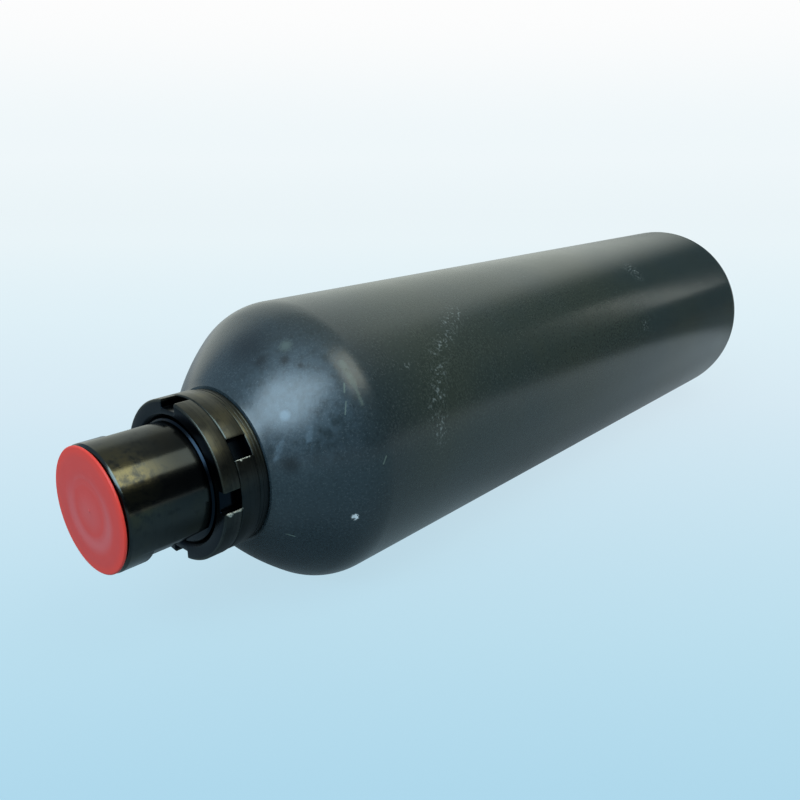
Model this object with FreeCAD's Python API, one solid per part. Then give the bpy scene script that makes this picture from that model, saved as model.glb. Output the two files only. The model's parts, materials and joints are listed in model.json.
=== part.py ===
"""Bladder accumulator: forged shell, rubber bladder with a gas valve, and a fluid port with a poppet valve.

Millimetres. The axis of the vessel is X, from the fluid port at the origin to the gas valve. Z is up.
Every piece is a solid of its own, in parts/NAME.step.
"""

import FreeCAD, Part
import math
import os

V = FreeCAD.Vector

# Clearances and small edges
slip = 0.15               # radial, between turned pieces that are pushed together
running = 0.05            # radial, between the poppet stem and its bush
valve_running = 0.06      # radial, between the gas valve's pin and its core
stop_gap = 0.2            # axial, left at each end of a valve's travel
soft_gap = 0.3            # between the bladder and what it lies on
facing = 0.05             # axial, between a seal and its neighbour
small_edge = 1.0          # chamfer at the ends of stems
corner_angle = 30.0       # at which the corners of a hexagonal nut are turned off, in degrees

# Stems, which the pieces round them follow
port_radius = 30.0        # tube of the fluid port
stem_radius = 11.0        # stem of the bladder
poppet_stem_radius = 6.0
valve_nipple_radius = 3.9

# Port body
port_end_chamfer = 1.2
port_tube = 41.2          # from the end face to the first nut
port_thread_step = 0.9    # by which the outer thread stands above the tube in front of it
port_thread_lead = 0.2    # length of that thread's start in front of the first nut
thread_wall = 10.1        # of the tube, round the bore of the thread
thread_depth = 24.0
thread_relief = 3.0
thread_relief_depth = 1.4
mouth_chamfer = 1.6
thread_ledge = 1.9        # from the thread's bore in to the bore between the thread and the web
seat_wall = 8.0           # of the tube, round the bore between the web and the valve seat
web_start = 66.0
web_thickness = 12.0
web_holes = 8
web_hole_radius = 3.3
web_hole_land = 1.7       # between the guide bush and the holes
collar_ledge = 4.6        # height of the collar above the thread
collar_length = 11.0
collar_chamfer = 1.0
collar_pass = 0.5         # radial, left round the collar when it goes through the neck
seat_width = 6.0          # of the 45 degree valve seat, measured along the axis
flat_depth = 2.5          # of the spanner flats
flat_start = 13.0
flat_angle = 55.7         # of the first flat's normal round the axis, in degrees

# Shell
shell_radius = 76.0
shell_wall = 8.0
shell_straight = 463.0
shoulder_arc = 30.0       # radius of the dome where it leaves the straight part
shoulder_turn = 36.0      # how far that arc turns, in degrees
crown_arc = 150.0         # radius of the dome from there to the neck
fluid_neck_wall = 4.6     # width of the neck's face
fluid_neck_depth = 20.0   # from the neck's face to the seat inside
fluid_neck_edge = 0.3     # chamfer at the neck's rim
gas_neck_wall = 12.7
gas_neck_gap = 0.3        # radial, round the bladder's stem
gas_neck_depth = 14.0
gas_neck_edge = 1.0
gas_seal_recess = 3.0     # depth of the recess for the stem's seal ring
gas_seal_width = 3.4      # radial, of that recess

# Slotted nuts and spacer ring
nut_wall = 9.3
front_nut_thickness = 9.4
rear_nut_thickness = 10.6
nut_edge = 0.6
nut_mouth = 2.3
slot_width = 10.5
slot_depth = 4.5
slot_count = 4
front_slot_angle = 0.0
rear_slot_angle = 57.0
spacer_step = 0.8         # by which the ring's radius is less than the nuts'
spacer_flange = 5.8
spacer_edge = 0.5
spacer_spigot = 10.1
spacer_lines = 2          # turned round the ring
spacer_line_pitch = 1.95
spacer_line_width = 0.4
spacer_line_depth = 0.2

# Seals of the fluid port
backup_thickness = 2.0
port_seal_section = 4.9
support_gap = 5.0         # radial, between the support ring and the shell's inside
support_rubber_thickness = 3.0
support_metal_thickness = 9.0
support_chamfer = 3.5
support_split = 0.6

# Poppet valve
poppet_lift = 10.0
poppet_head_inset = 0.6   # by which the head is smaller than the seat's mouth
poppet_rim = 1.5
poppet_crown = 5.0
poppet_thread_tail = 1.6
bush_wall = 3.0
bush_flange_ledge = 1.4
bush_flange = 2.0
poppet_spring_gap = 1.1   # radial, between the stem and its spring
poppet_spring_wire = 1.2
poppet_spring_turns = 6
spring_end_pitch = 1.08   # rise of a spring's end turns, in wire diameters
closed_halves = 2         # half turns that lie close together at each end of a spring
stop_washer_ledge = 5.5
stop_washer_thickness = 2.5
stop_nut_wall = 2.5
stop_nut_thickness = 6.5

# Bleed screw
bleed_place = 31.0        # from the end face
bleed_thread_radius = 4.0
bleed_head_ledge = 2.8
bleed_head = 2.2
bleed_shank = 5.6
bleed_sink = 2.4
bleed_seal_thickness = 1.0
bleed_socket_flats = 5.0
bleed_socket_depth = 3.0

# Transport plug
plug_step = 0.3           # by which the flange is smaller than the tube
plug_flange = 1.1
plug_gap = 0.9            # left between the flange and the tube's end
plug_edge = 0.6
plug_spigot = 12.0
plug_taper = 0.5
plug_wall = 1.6
plug_rim = 12.7           # width of the flat rim round the dish
plug_dish = 0.3

# Bladder and stem
bladder_clearance = 6.0   # radial, between the bag as moulded and the shell
bladder_wall = 3.5
bladder_gap = 10.0        # between the open poppet and the bag's closed end
bladder_arc = 24.0        # radius of the bag's shoulder at the gas end
bladder_top_gap = 1.5     # radial, between the bag's top and the rim of the seat
stem_foot_ledge = 10.5
stem_foot = 5.0
stem_passage = 3.0
guard_thread = 12.5       # length of the stem's thread in the guard cap
socket_room = 3.2         # below the gas valve's shank

# Fastening at the gas end
washer_ledge = 9.0
washer_thickness = 2.5
lock_nut_wall = 5.0
lock_nut_thickness = 12.0
guard_wall = 5.0
guard_room = 1.15         # between the small cap and the end of the guard cap
guard_end = 2.5
guard_edge = 1.5
guard_flat_depth = 2.5
guard_flats_length = 12.0

# Gas valve
valve_shank_radius = 5.9
valve_shank = 10.5
valve_hex_flats = 17.0
valve_hex = 5.8
valve_nipple = 9.0
valve_nipple_wall = 1.2
valve_passage = 1.5
valve_seal_width = 2.35
valve_seal_thickness = 1.2
core_length = 5.5
core_place = 1.0          # of the core's inner end below the hexagon's top
pin_radius = 0.8
pin_lift = 1.5
pin_head_ledge = 1.2
pin_head = 1.2
pin_collar = 0.6
pin_collar_ledge = 1.1
core_spring_length = 3.4
core_spring_gap = 0.4     # radial, between the pin and its spring
core_spring_wire = 0.25
core_spring_turns = 3
valve_cap_wall = 1.7
valve_cap_end = 1.3
valve_cap_edge = 0.5

# Radii, worked out from the sizes above
port_thread_radius = port_radius + port_thread_step
thread_bore = port_radius - thread_wall
thread_relief_radius = thread_bore + thread_relief_depth
outer_bore = thread_bore - thread_ledge
inner_bore = port_radius - seat_wall
collar_radius = port_thread_radius + collar_ledge
flat_distance = port_radius - flat_depth
nut_radius = port_thread_radius + nut_wall
spacer_radius = nut_radius - spacer_step
plug_radius = port_radius - plug_step
plug_dish_radius = plug_radius - plug_rim
fluid_neck_bore = collar_radius + collar_pass
fluid_neck_radius = fluid_neck_bore + fluid_neck_wall
bush_radius = poppet_stem_radius + bush_wall
bush_flange_radius = bush_radius + bush_flange_ledge
web_hole_circle = bush_radius + web_hole_land + web_hole_radius
poppet_head_radius = inner_bore + seat_width - poppet_head_inset
poppet_spring_radius = poppet_stem_radius + poppet_spring_gap + poppet_spring_wire
stop_washer_radius = poppet_stem_radius + stop_washer_ledge
stop_nut_flats = 2 * (poppet_stem_radius + stop_nut_wall)
bleed_head_radius = bleed_thread_radius + bleed_head_ledge
bladder_radius = shell_radius - shell_wall - bladder_clearance
gas_neck_bore = stem_radius + gas_neck_gap
gas_neck_radius = gas_neck_bore + gas_neck_wall
gas_seal_recess_radius = stem_radius + gas_seal_width
stem_foot_radius = stem_radius + stem_foot_ledge
washer_radius = stem_radius + washer_ledge
lock_nut_flats = 2 * (stem_radius + lock_nut_wall)
guard_radius = stem_radius + guard_wall
guard_flats = 2 * (guard_radius - guard_flat_depth)
valve_chamber = valve_nipple_radius - valve_nipple_wall
valve_seal_radius = valve_shank_radius + slip + valve_seal_width
valve_cap_radius = valve_nipple_radius + valve_cap_wall
pin_head_radius = pin_radius + pin_head_ledge
pin_collar_radius = pin_radius + pin_collar_ledge
core_spring_radius = pin_radius + core_spring_gap + core_spring_wire


def crown_turn(drop, arc):
    """Angle to the axis at which a dome ends that has drawn in by the drop."""
    start = math.radians(shoulder_turn)
    return math.acos(math.cos(start) - (drop - arc * (1 - math.cos(start))) / crown_arc)


def dome_reach(drop, arc):
    """Length along the axis of a dome that draws in by the drop."""
    start = math.radians(shoulder_turn)
    return arc * math.sin(start) + crown_arc * (math.sin(crown_turn(drop, arc)) - math.sin(start))


# Places along the axis, worked out from the sizes above
port_thread_start = port_tube - port_thread_lead
rear_nut_start = port_tube + front_nut_thickness
spacer_start = rear_nut_start + rear_nut_thickness
neck_face = spacer_start + spacer_flange
inner_seat = neck_face + fluid_neck_depth
support_metal_start = inner_seat + support_rubber_thickness
collar_start = support_metal_start + support_metal_thickness
port_end = collar_start + collar_length
valve_seat = port_end - seat_width
web_end = web_start + web_thickness
head_start = valve_seat + stop_gap + poppet_lift
rim_start = head_start + poppet_head_radius - inner_bore
crown_start = rim_start + poppet_rim
poppet_tip = crown_start + poppet_crown
bladder_start = poppet_tip + bladder_gap
stop_face = web_start - stop_gap
straight_start = neck_face + dome_reach(shell_radius - fluid_neck_radius, shoulder_arc)
straight_end = straight_start + shell_straight
gas_face = straight_end + dome_reach(shell_radius - gas_neck_radius, shoulder_arc)
gas_seat = gas_face - gas_neck_depth
bladder_end = gas_seat - soft_gap
lock_nut_start = gas_face + washer_thickness
guard_start = lock_nut_start + lock_nut_thickness
stem_end = guard_start + guard_thread
hex_start = stem_end + valve_seal_thickness
hex_end = hex_start + valve_hex
nipple_end = hex_end + valve_nipple
cap_inside = nipple_end + facing
cap_end = cap_inside + valve_cap_end
guard_tip = cap_end + guard_room + guard_end
core_start = hex_end - core_place
core_end = core_start + core_length
pin_head_end = core_start - facing
chamber_floor = pin_head_end - pin_head - pin_lift - stop_gap
socket_floor = hex_start - valve_shank - socket_room


def outline(points):
    """Straight edges through the points (x, radius)."""
    return [Part.LineSegment(V(*a, 0), V(*b, 0)).toShape() for a, b in zip(points, points[1:])]


def turned(edges):
    """A solid turned round the X axis from the edges of its half section."""
    wire = Part.Wire(Part.__sortEdges__(edges))
    return Part.Face(wire).revolve(V(0, 0, 0), V(1, 0, 0), 360)


def turned_points(points):
    """A solid turned from the corners of its half section."""
    return turned(outline(points + points[:1]))


def ring(start, end, inner, outer, edge=0.0, mouth=0.0):
    """A ring between two places, with chamfers on its outer edges and at its bore's mouths."""
    return turned_points(drop_repeats([
        (start, inner + mouth), (start, outer - edge), (start + edge, outer), (end - edge, outer),
        (end, outer - edge), (end, inner + mouth), (end - mouth, inner), (start + mouth, inner),
    ]))


def drop_repeats(points):
    """The points without those that equal the one before."""
    kept = []
    for point in points:
        if point not in kept:
            kept.append(point)
    return kept


def axial_cylinder(start, end, radius, y=0.0, z=0.0):
    """A cylinder along X."""
    return Part.makeCylinder(radius, end - start, V(start, y, z), V(1, 0, 0))


def turn_round_axis(shape, degrees):
    """The shape turned round the X axis."""
    turned_shape = shape.copy()
    turned_shape.rotate(V(0, 0, 0), V(1, 0, 0), degrees)
    return turned_shape


def hexagon(start, end, flats):
    """A hexagonal bar along X, with a pair of corners up and down."""
    corner = flats / math.sqrt(3)
    corners = [
        V(start, corner * math.sin(math.radians(60 * k)), corner * math.cos(math.radians(60 * k)))
        for k in range(7)
    ]
    return Part.Face(Part.makePolygon(corners)).extrude(V(end - start, 0, 0))


def hex_nut(start, end, flats, bore):
    """A hexagonal nut with the corners of both faces turned off."""
    corner = flats / math.sqrt(3)
    fall = (corner - flats / 2) * math.tan(math.radians(corner_angle))
    blank = turned_points([
        (start, bore), (start, flats / 2), (start + fall, corner), (end - fall, corner),
        (end, flats / 2), (end, bore),
    ])
    return hexagon(start, end, flats).common(blank)


def coil_spring(start, end, radius, wire, turns):
    """A compression spring along X with closed, ground ends.

    Each half turn is half a torus, tilted to rise from one side to the other. Its ends lie square to the
    same line, so each half turn runs on smoothly into the next.
    """
    closed = spring_end_pitch * wire
    halves = 2 * turns
    open_rise = (end - start - wire - 2 * closed_halves * closed) / (halves - 2 * closed_halves)
    coil = None
    place = wire / 2
    for k in range(halves):
        rise = open_rise if closed_halves <= k < halves - closed_halves else closed
        half = Part.makeTorus(math.hypot(radius, rise / 2), wire, V(0, 0, 0), V(0, 0, 1), 0, 360, 180)
        half.rotate(V(0, 0, 0), V(0, 1, 0), math.degrees(math.atan(rise / 2 / radius)))
        half.rotate(V(0, 0, 0), V(0, 0, 1), 180 * (k % 2))
        half.translate(V(0, 0, place + rise / 2))
        coil = half if coil is None else coil.fuse(half)
        place += rise
    coil.rotate(V(0, 0, 0), V(0, 1, 0), 90)
    coil.translate(V(start, 0, 0))
    side = 4 * radius
    slab = Part.makeBox(end - start, side, side, V(start, -side / 2, -side / 2))
    return coil.common(slab).Solids[0]


def dome(face, towards_middle, neck_radius, radius, arc, wall, seat):
    """Edges of one dome, and its end points.

    The outer edges are a shoulder arc from the straight part and a flatter crown arc to the neck's radius
    at the face. The inner ones lie one wall inside and end at the flat seat. Gives the outer edges, their
    neck end and straight end, and the same three of the inside.
    """
    start = math.radians(shoulder_turn)
    middle = face + towards_middle * dome_reach(radius - neck_radius, arc)
    shift = (crown_arc - arc) * math.sin(start)
    shoulder_centre = (middle, radius - arc)
    crown_centre = (middle + towards_middle * shift, radius - arc - (crown_arc - arc) * math.cos(start))

    def bend(centre, size, low, high):
        points = [
            (centre[0] - towards_middle * size * math.sin(turn), centre[1] + size * math.cos(turn))
            for turn in (low, (low + high) / 2, high)
        ]
        return Part.Arc(*[V(*point, 0) for point in points]).toShape(), points[0], points[2]

    outer, straight_point, _ = bend(shoulder_centre, arc, 0, start)
    crown, _, neck_point = bend(crown_centre, crown_arc, start, crown_turn(radius - neck_radius, arc))
    inner, inner_straight, _ = bend(shoulder_centre, arc - wall, 0, start)
    inner_end = math.asin(abs(crown_centre[0] - seat) / (crown_arc - wall))
    inner_crown, _, seat_point = bend(crown_centre, crown_arc - wall, start, inner_end)
    return [outer, crown], neck_point, straight_point, [inner, inner_crown], seat_point, inner_straight


def shell_dome(face, towards_middle, neck_radius, edge, seat):
    """One dome of the shell, which ends at the chamfer of its neck."""
    drop = shell_radius - neck_radius
    lip_radius = neck_radius + edge * math.tan(crown_turn(drop, shoulder_arc))
    lip = face + towards_middle * edge
    return dome(lip, towards_middle, lip_radius, shell_radius, shoulder_arc, shell_wall, seat)


def fluid_dome():
    """The dome at the fluid end."""
    return shell_dome(neck_face, 1, fluid_neck_radius, fluid_neck_edge, inner_seat)


def gas_dome():
    """The dome at the gas end."""
    return shell_dome(gas_face, -1, gas_neck_radius, gas_neck_edge, gas_seat)


def shell():
    """The seamless shell: a tube with both ends drawn in to a neck, bored and faced."""
    near = fluid_dome()
    far = gas_dome()
    edges = near[0] + near[3] + far[0] + far[3]
    edges += outline([near[2], far[2]]) + outline([near[5], far[5]])
    edges += outline([
        near[1], (neck_face, near[1][1] - fluid_neck_edge), (neck_face, fluid_neck_bore),
        (inner_seat, fluid_neck_bore), near[4],
    ])
    recess_end = gas_seat + gas_seal_recess
    edges += outline([
        far[1], (gas_face, far[1][1] - gas_neck_edge), (gas_face, gas_neck_bore),
        (recess_end, gas_neck_bore), (recess_end, gas_seal_recess_radius),
        (gas_seat, gas_seal_recess_radius), far[4],
    ])
    return turned(edges)


def port_body():
    """The fluid port: a threaded tube with a web that guides the poppet, a collar and a conical seat."""
    body = turned_points([
        (0, thread_bore + mouth_chamfer), (0, port_radius - port_end_chamfer),
        (port_end_chamfer, port_radius), (port_thread_start, port_radius),
        (port_thread_start + port_thread_step, port_thread_radius), (collar_start, port_thread_radius),
        (collar_start, collar_radius),
        (port_end - collar_chamfer, collar_radius), (port_end, collar_radius - collar_chamfer),
        (port_end, inner_bore + seat_width), (valve_seat, inner_bore), (web_end, inner_bore),
        (web_end, bush_radius), (web_start, bush_radius), (web_start, outer_bore),
        (thread_depth + thread_relief, outer_bore), (thread_depth + thread_relief, thread_relief_radius),
        (thread_depth, thread_relief_radius), (thread_depth, thread_bore), (mouth_chamfer, thread_bore),
    ])
    hole = axial_cylinder(web_start, web_end, web_hole_radius, z=web_hole_circle)
    cuts = [turn_round_axis(hole, 360 * k / web_holes) for k in range(web_holes)]
    waste = Part.makeBox(port_thread_start - flat_start, 2 * port_radius, port_radius,
                         V(flat_start, -port_radius, flat_distance))
    cuts += [turn_round_axis(waste, flat_angle - 90 + side) for side in (0, 180)]
    sink = across_flat(flat_distance - bleed_sink, port_radius, bleed_head_radius + slip)
    cuts += [sink, across_flat(outer_bore / 2, port_radius, bleed_thread_radius)]
    for cut in cuts:
        body = body.cut(cut)
    return body


def across_flat(low, high, radius):
    """A cylinder square to the first flat at the bleed screw, between two distances from the axis."""
    upright = Part.makeCylinder(radius, high - low, V(bleed_place, 0, low))
    return turn_round_axis(upright, flat_angle - 90)


def bleed_screw():
    """A flush screw with a hexagonal socket."""
    head_base = flat_distance - bleed_sink + bleed_seal_thickness
    top = head_base + bleed_head
    screw = across_flat(head_base, top, bleed_head_radius)
    screw = screw.fuse(across_flat(head_base - bleed_shank, head_base, bleed_thread_radius - facing))
    socket = hexagon(0, bleed_socket_depth, bleed_socket_flats)
    socket.rotate(V(0, 0, 0), V(0, 1, 0), -90)
    socket.translate(V(bleed_place, 0, top - bleed_socket_depth))
    return screw.cut(turn_round_axis(socket, flat_angle - 90)).removeSplitter()


def bleed_seal():
    """The soft ring under the bleed screw's head."""
    base = flat_distance - bleed_sink
    top = base + bleed_seal_thickness
    hole = across_flat(base - bleed_seal_thickness, top + bleed_seal_thickness, bleed_thread_radius + facing)
    return across_flat(base, top, bleed_head_radius).cut(hole)


def slotted_nut(start, thickness, first_slot):
    """A round nut with slots for a hook spanner."""
    nut = ring(start, start + thickness, port_thread_radius + slip, nut_radius, nut_edge, nut_mouth)
    slot = Part.makeBox(thickness, slot_width, 2 * slot_depth,
                        V(start, -slot_width / 2, nut_radius - slot_depth))
    for k in range(slot_count):
        nut = nut.cut(turn_round_axis(slot, first_slot - 90 + 360 * k / slot_count))
    return nut


def spacer_ring():
    """The ring between the nuts and the neck, centred in the neck by a spigot."""
    bore = port_thread_radius + slip
    line_floor = spacer_radius - spacer_line_depth
    rim = [(spacer_start, spacer_radius - spacer_edge), (spacer_start + spacer_edge, spacer_radius)]
    for k in range(spacer_lines):
        start = spacer_start + (k + 1) * spacer_line_pitch
        end = start + spacer_line_width
        rim += [(start, spacer_radius), (start, line_floor), (end, line_floor), (end, spacer_radius)]
    return turned_points([
        (spacer_start, bore), *rim, (neck_face - spacer_edge, spacer_radius),
        (neck_face, spacer_radius - spacer_edge), (neck_face, fluid_neck_bore - slip),
        (neck_face + spacer_spigot, fluid_neck_bore - slip), (neck_face + spacer_spigot, bore),
    ])


def port_seals():
    """The ring stack between the port body and the neck's bore, from the spacer inwards."""
    inner = port_thread_radius + slip
    outer = fluid_neck_bore - slip
    backup_start = neck_face + spacer_spigot
    seal_start = backup_start + backup_thickness
    section = port_seal_section / 2
    washer_start = seal_start + port_seal_section
    middle = (inner + outer) / 2
    seal = Part.makeTorus(middle, min(section, outer - middle) - facing,
                          V(seal_start + section, 0, 0), V(1, 0, 0))
    return {
        "port_backup_ring": ring(backup_start, seal_start, inner, outer),
        "port_o_ring": seal,
        "port_seal_washer": ring(washer_start, inner_seat, inner, outer),
    }


def support_ring():
    """The ring that holds the port body in the shell: a rubber facing and two metal half rings."""
    bore = port_thread_radius + slip
    support_radius = fluid_dome()[4][1] - support_gap
    facing_ring = ring(inner_seat, support_metal_start, bore, support_radius)
    metal = turned_points([
        (support_metal_start, bore), (support_metal_start, support_radius),
        (collar_start - support_chamfer, support_radius), (collar_start, support_radius - support_chamfer),
        (collar_start, bore),
    ])
    side = 2 * support_radius
    half_space = Part.makeBox(support_metal_thickness, side, side,
                              V(support_metal_start, support_split / 2, -support_radius))
    return {
        "support_ring_rubber": facing_ring,
        "support_ring_half_a": metal.common(half_space),
        "support_ring_half_b": metal.common(turn_round_axis(half_space, 180)),
    }


def poppet():
    """The poppet, open: a stem and a mushroom head with a conical face."""
    stem_tip = stop_face - stop_washer_thickness - stop_nut_thickness - poppet_thread_tail
    crown_radius = (poppet_head_radius ** 2 + poppet_crown ** 2) / (2 * poppet_crown)
    half = math.asin(poppet_head_radius / crown_radius) / 2
    crown_middle = (poppet_tip - crown_radius * (1 - math.cos(half)), crown_radius * math.sin(half))
    crown = Part.Arc(V(crown_start, poppet_head_radius, 0), V(*crown_middle, 0), V(poppet_tip, 0, 0))
    edges = outline([
        (poppet_tip, 0), (stem_tip, 0), (stem_tip, poppet_stem_radius - small_edge),
        (stem_tip + small_edge, poppet_stem_radius), (head_start, poppet_stem_radius),
        (head_start, inner_bore), (rim_start, poppet_head_radius), (crown_start, poppet_head_radius),
    ])
    return turned(edges + [crown.toShape()])


def poppet_parts():
    """The poppet with its guide, its spring and the stop on its tail."""
    bore = poppet_stem_radius + running
    bush = turned_points([
        (web_start, bore), (web_start, bush_radius - running / 2), (web_end, bush_radius - running / 2),
        (web_end, bush_flange_radius), (web_end + bush_flange, bush_flange_radius),
        (web_end + bush_flange, bore),
    ])
    washer_start = stop_face - stop_washer_thickness
    tight = poppet_stem_radius + facing
    return {
        "poppet": poppet(),
        "guide_bush": bush,
        "poppet_spring": coil_spring(web_end + bush_flange, head_start, poppet_spring_radius,
                                     poppet_spring_wire, poppet_spring_turns),
        "poppet_stop_washer": ring(washer_start, stop_face, tight, stop_washer_radius),
        "poppet_lock_nut": hex_nut(washer_start - stop_nut_thickness, washer_start, stop_nut_flats, tight),
    }


def port_plug():
    """The transport plug: a wide thin flange with a dished face, and a tapered hollow spigot."""
    face = -plug_gap - plug_flange
    root = thread_bore - slip
    tip = root - plug_taper
    return turned_points([
        (face + plug_dish, 0), (face + plug_dish, plug_dish_radius),
        (face, plug_dish_radius + plug_dish), (face, plug_radius - plug_edge),
        (face + plug_edge, plug_radius), (-plug_gap, plug_radius), (-plug_gap, root), (0, root),
        (plug_spigot, tip), (plug_spigot, tip - plug_wall), (-plug_gap, root - plug_wall), (-plug_gap, 0),
    ])


def bladder():
    """The bag in the size it was moulded, with its closed end near the poppet."""
    bore = stem_radius + slip
    seat_radius = gas_dome()[4][1]
    inner_top = bladder_end - bladder_wall
    top = dome(bladder_end, -1, seat_radius - bladder_top_gap, bladder_radius, bladder_arc, bladder_wall,
               inner_top)
    middle = bladder_start + bladder_radius
    edges = top[0] + top[3]
    edges += outline([top[1], (bladder_end, bore), (inner_top, bore), top[4]])
    for inset, side in ((0, top[2]), (bladder_wall, top[5])):
        radius = bladder_radius - inset
        diagonal = radius / math.sqrt(2)
        round_end = Part.Arc(V(middle - radius, 0, 0), V(middle - diagonal, diagonal, 0),
                             V(middle, radius, 0))
        edges += [round_end.toShape()] + outline([(middle, radius), side])
    edges += outline([(bladder_start, 0), (bladder_start + bladder_wall, 0)])
    return turned(edges)


def bladder_stem():
    """The stem bonded into the bladder, with its foot inside and its thread through the neck."""
    foot_end = bladder_end - bladder_wall
    foot_start = foot_end - stem_foot
    socket = valve_shank_radius + slip
    return turned_points([
        (foot_start, stem_passage), (foot_start, stem_foot_radius - small_edge),
        (foot_start + small_edge, stem_foot_radius), (foot_end, stem_foot_radius), (foot_end, stem_radius),
        (stem_end - small_edge, stem_radius), (stem_end, stem_radius - small_edge), (stem_end, socket),
        (socket_floor, socket), (socket_floor, stem_passage),
    ])


def stem_seal_ring():
    """The O-ring round the stem, in the recess of the neck."""
    section = min(gas_seal_recess / 2, (gas_seal_recess_radius - stem_radius) / 2) - 2 * facing
    middle = (gas_seal_recess_radius + stem_radius) / 2
    return Part.makeTorus(middle, section, V(gas_seat + gas_seal_recess / 2, 0, 0), V(1, 0, 0))


def guard_cap():
    """The screwed cap that guards the gas valve, with a pair of spanner flats at its end."""
    bore = stem_radius + slip
    cap = turned_points([
        (guard_start, bore), (guard_start, guard_radius - guard_edge / 2),
        (guard_start + guard_edge / 2, guard_radius), (guard_tip - guard_edge, guard_radius),
        (guard_tip, guard_radius - guard_edge), (guard_tip, 0), (guard_tip - guard_end, 0),
        (guard_tip - guard_end, bore),
    ])
    waste = Part.makeBox(guard_flats_length, 2 * guard_radius, guard_radius,
                         V(guard_tip - guard_flats_length, -guard_radius, guard_flats / 2))
    return cap.cut(waste).cut(turn_round_axis(waste, 180))


def gas_valve():
    """The gas valve that screws into the stem, with its core, pin, spring, seal and small cap."""
    shank_start = hex_start - valve_shank
    body = turned_points([
        (shank_start, valve_passage), (shank_start, valve_shank_radius), (hex_start, valve_shank_radius),
        (hex_start, valve_hex_flats), (hex_end, valve_hex_flats), (hex_end, valve_nipple_radius),
        (nipple_end, valve_nipple_radius), (nipple_end, valve_chamber),
        (chamber_floor, valve_chamber), (chamber_floor, valve_passage),
    ])
    keep = hexagon(hex_start, hex_end, valve_hex_flats)
    keep = keep.fuse(axial_cylinder(shank_start, hex_start, valve_shank_radius))
    keep = keep.fuse(axial_cylinder(hex_end, nipple_end, valve_nipple_radius))
    body = body.common(keep)
    core = ring(core_start, core_end, pin_radius + valve_running, valve_chamber - facing)
    collar_place = core_end + core_spring_length
    pin = turned_points([
        (pin_head_end - pin_head, 0), (pin_head_end - pin_head, pin_head_radius),
        (pin_head_end, pin_head_radius), (pin_head_end, pin_radius), (collar_place, pin_radius),
        (collar_place, pin_collar_radius),
        (collar_place + pin_collar, pin_collar_radius), (collar_place + pin_collar, 0),
    ])
    cap_bore = valve_nipple_radius + slip
    cap = turned_points([
        (hex_end, cap_bore), (hex_end, valve_cap_radius), (cap_end - valve_cap_edge, valve_cap_radius),
        (cap_end, valve_cap_radius - valve_cap_edge), (cap_end, 0), (cap_inside, 0), (cap_inside, cap_bore),
    ])
    return {
        "gas_valve_body": body,
        "gas_valve_seal": ring(stem_end, hex_start, valve_shank_radius + slip, valve_seal_radius),
        "valve_core_body": core,
        "valve_core_pin": pin,
        "valve_core_spring": coil_spring(core_end, collar_place, core_spring_radius, core_spring_wire,
                                         core_spring_turns),
        "gas_valve_cap": cap,
    }


def all_pieces():
    """Every piece by name."""
    pieces = {
        "shell": shell(),
        "port_body": port_body(),
        "front_slotted_nut": slotted_nut(port_tube, front_nut_thickness, front_slot_angle),
        "rear_slotted_nut": slotted_nut(rear_nut_start, rear_nut_thickness, rear_slot_angle),
        "spacer_ring": spacer_ring(),
        "port_plug": port_plug(),
        "bleed_screw": bleed_screw(),
        "bleed_seal": bleed_seal(),
        "bladder": bladder(),
        "bladder_stem": bladder_stem(),
        "stem_seal_ring": stem_seal_ring(),
        "stem_washer": ring(gas_face, lock_nut_start, stem_radius + slip, washer_radius),
        "stem_lock_nut": hex_nut(lock_nut_start, guard_start, lock_nut_flats, stem_radius + slip),
        "valve_guard_cap": guard_cap(),
    }
    for group in (port_seals(), support_ring(), poppet_parts(), gas_valve()):
        pieces.update(group)
    return pieces


os.makedirs("parts", exist_ok=True)
for name, piece in all_pieces().items():
    if not piece.isValid() or len(piece.Solids) != 1:
        raise ValueError(f"{name} isn't one valid solid")
    piece.exportStep(f"parts/{name}.step")
    print(name, round(piece.Volume), "mm3")
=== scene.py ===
"""Bladder accumulator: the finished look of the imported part, with its floor, lamps and camera.

Metres, in the part's own frame: X runs from the fluid port to the gas valve, and Z is up.
"""

import json
import logging
import math
from collections.abc import Sequence
from dataclasses import dataclass
from enum import Enum

import bpy
from mathutils import Matrix, Vector


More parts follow.
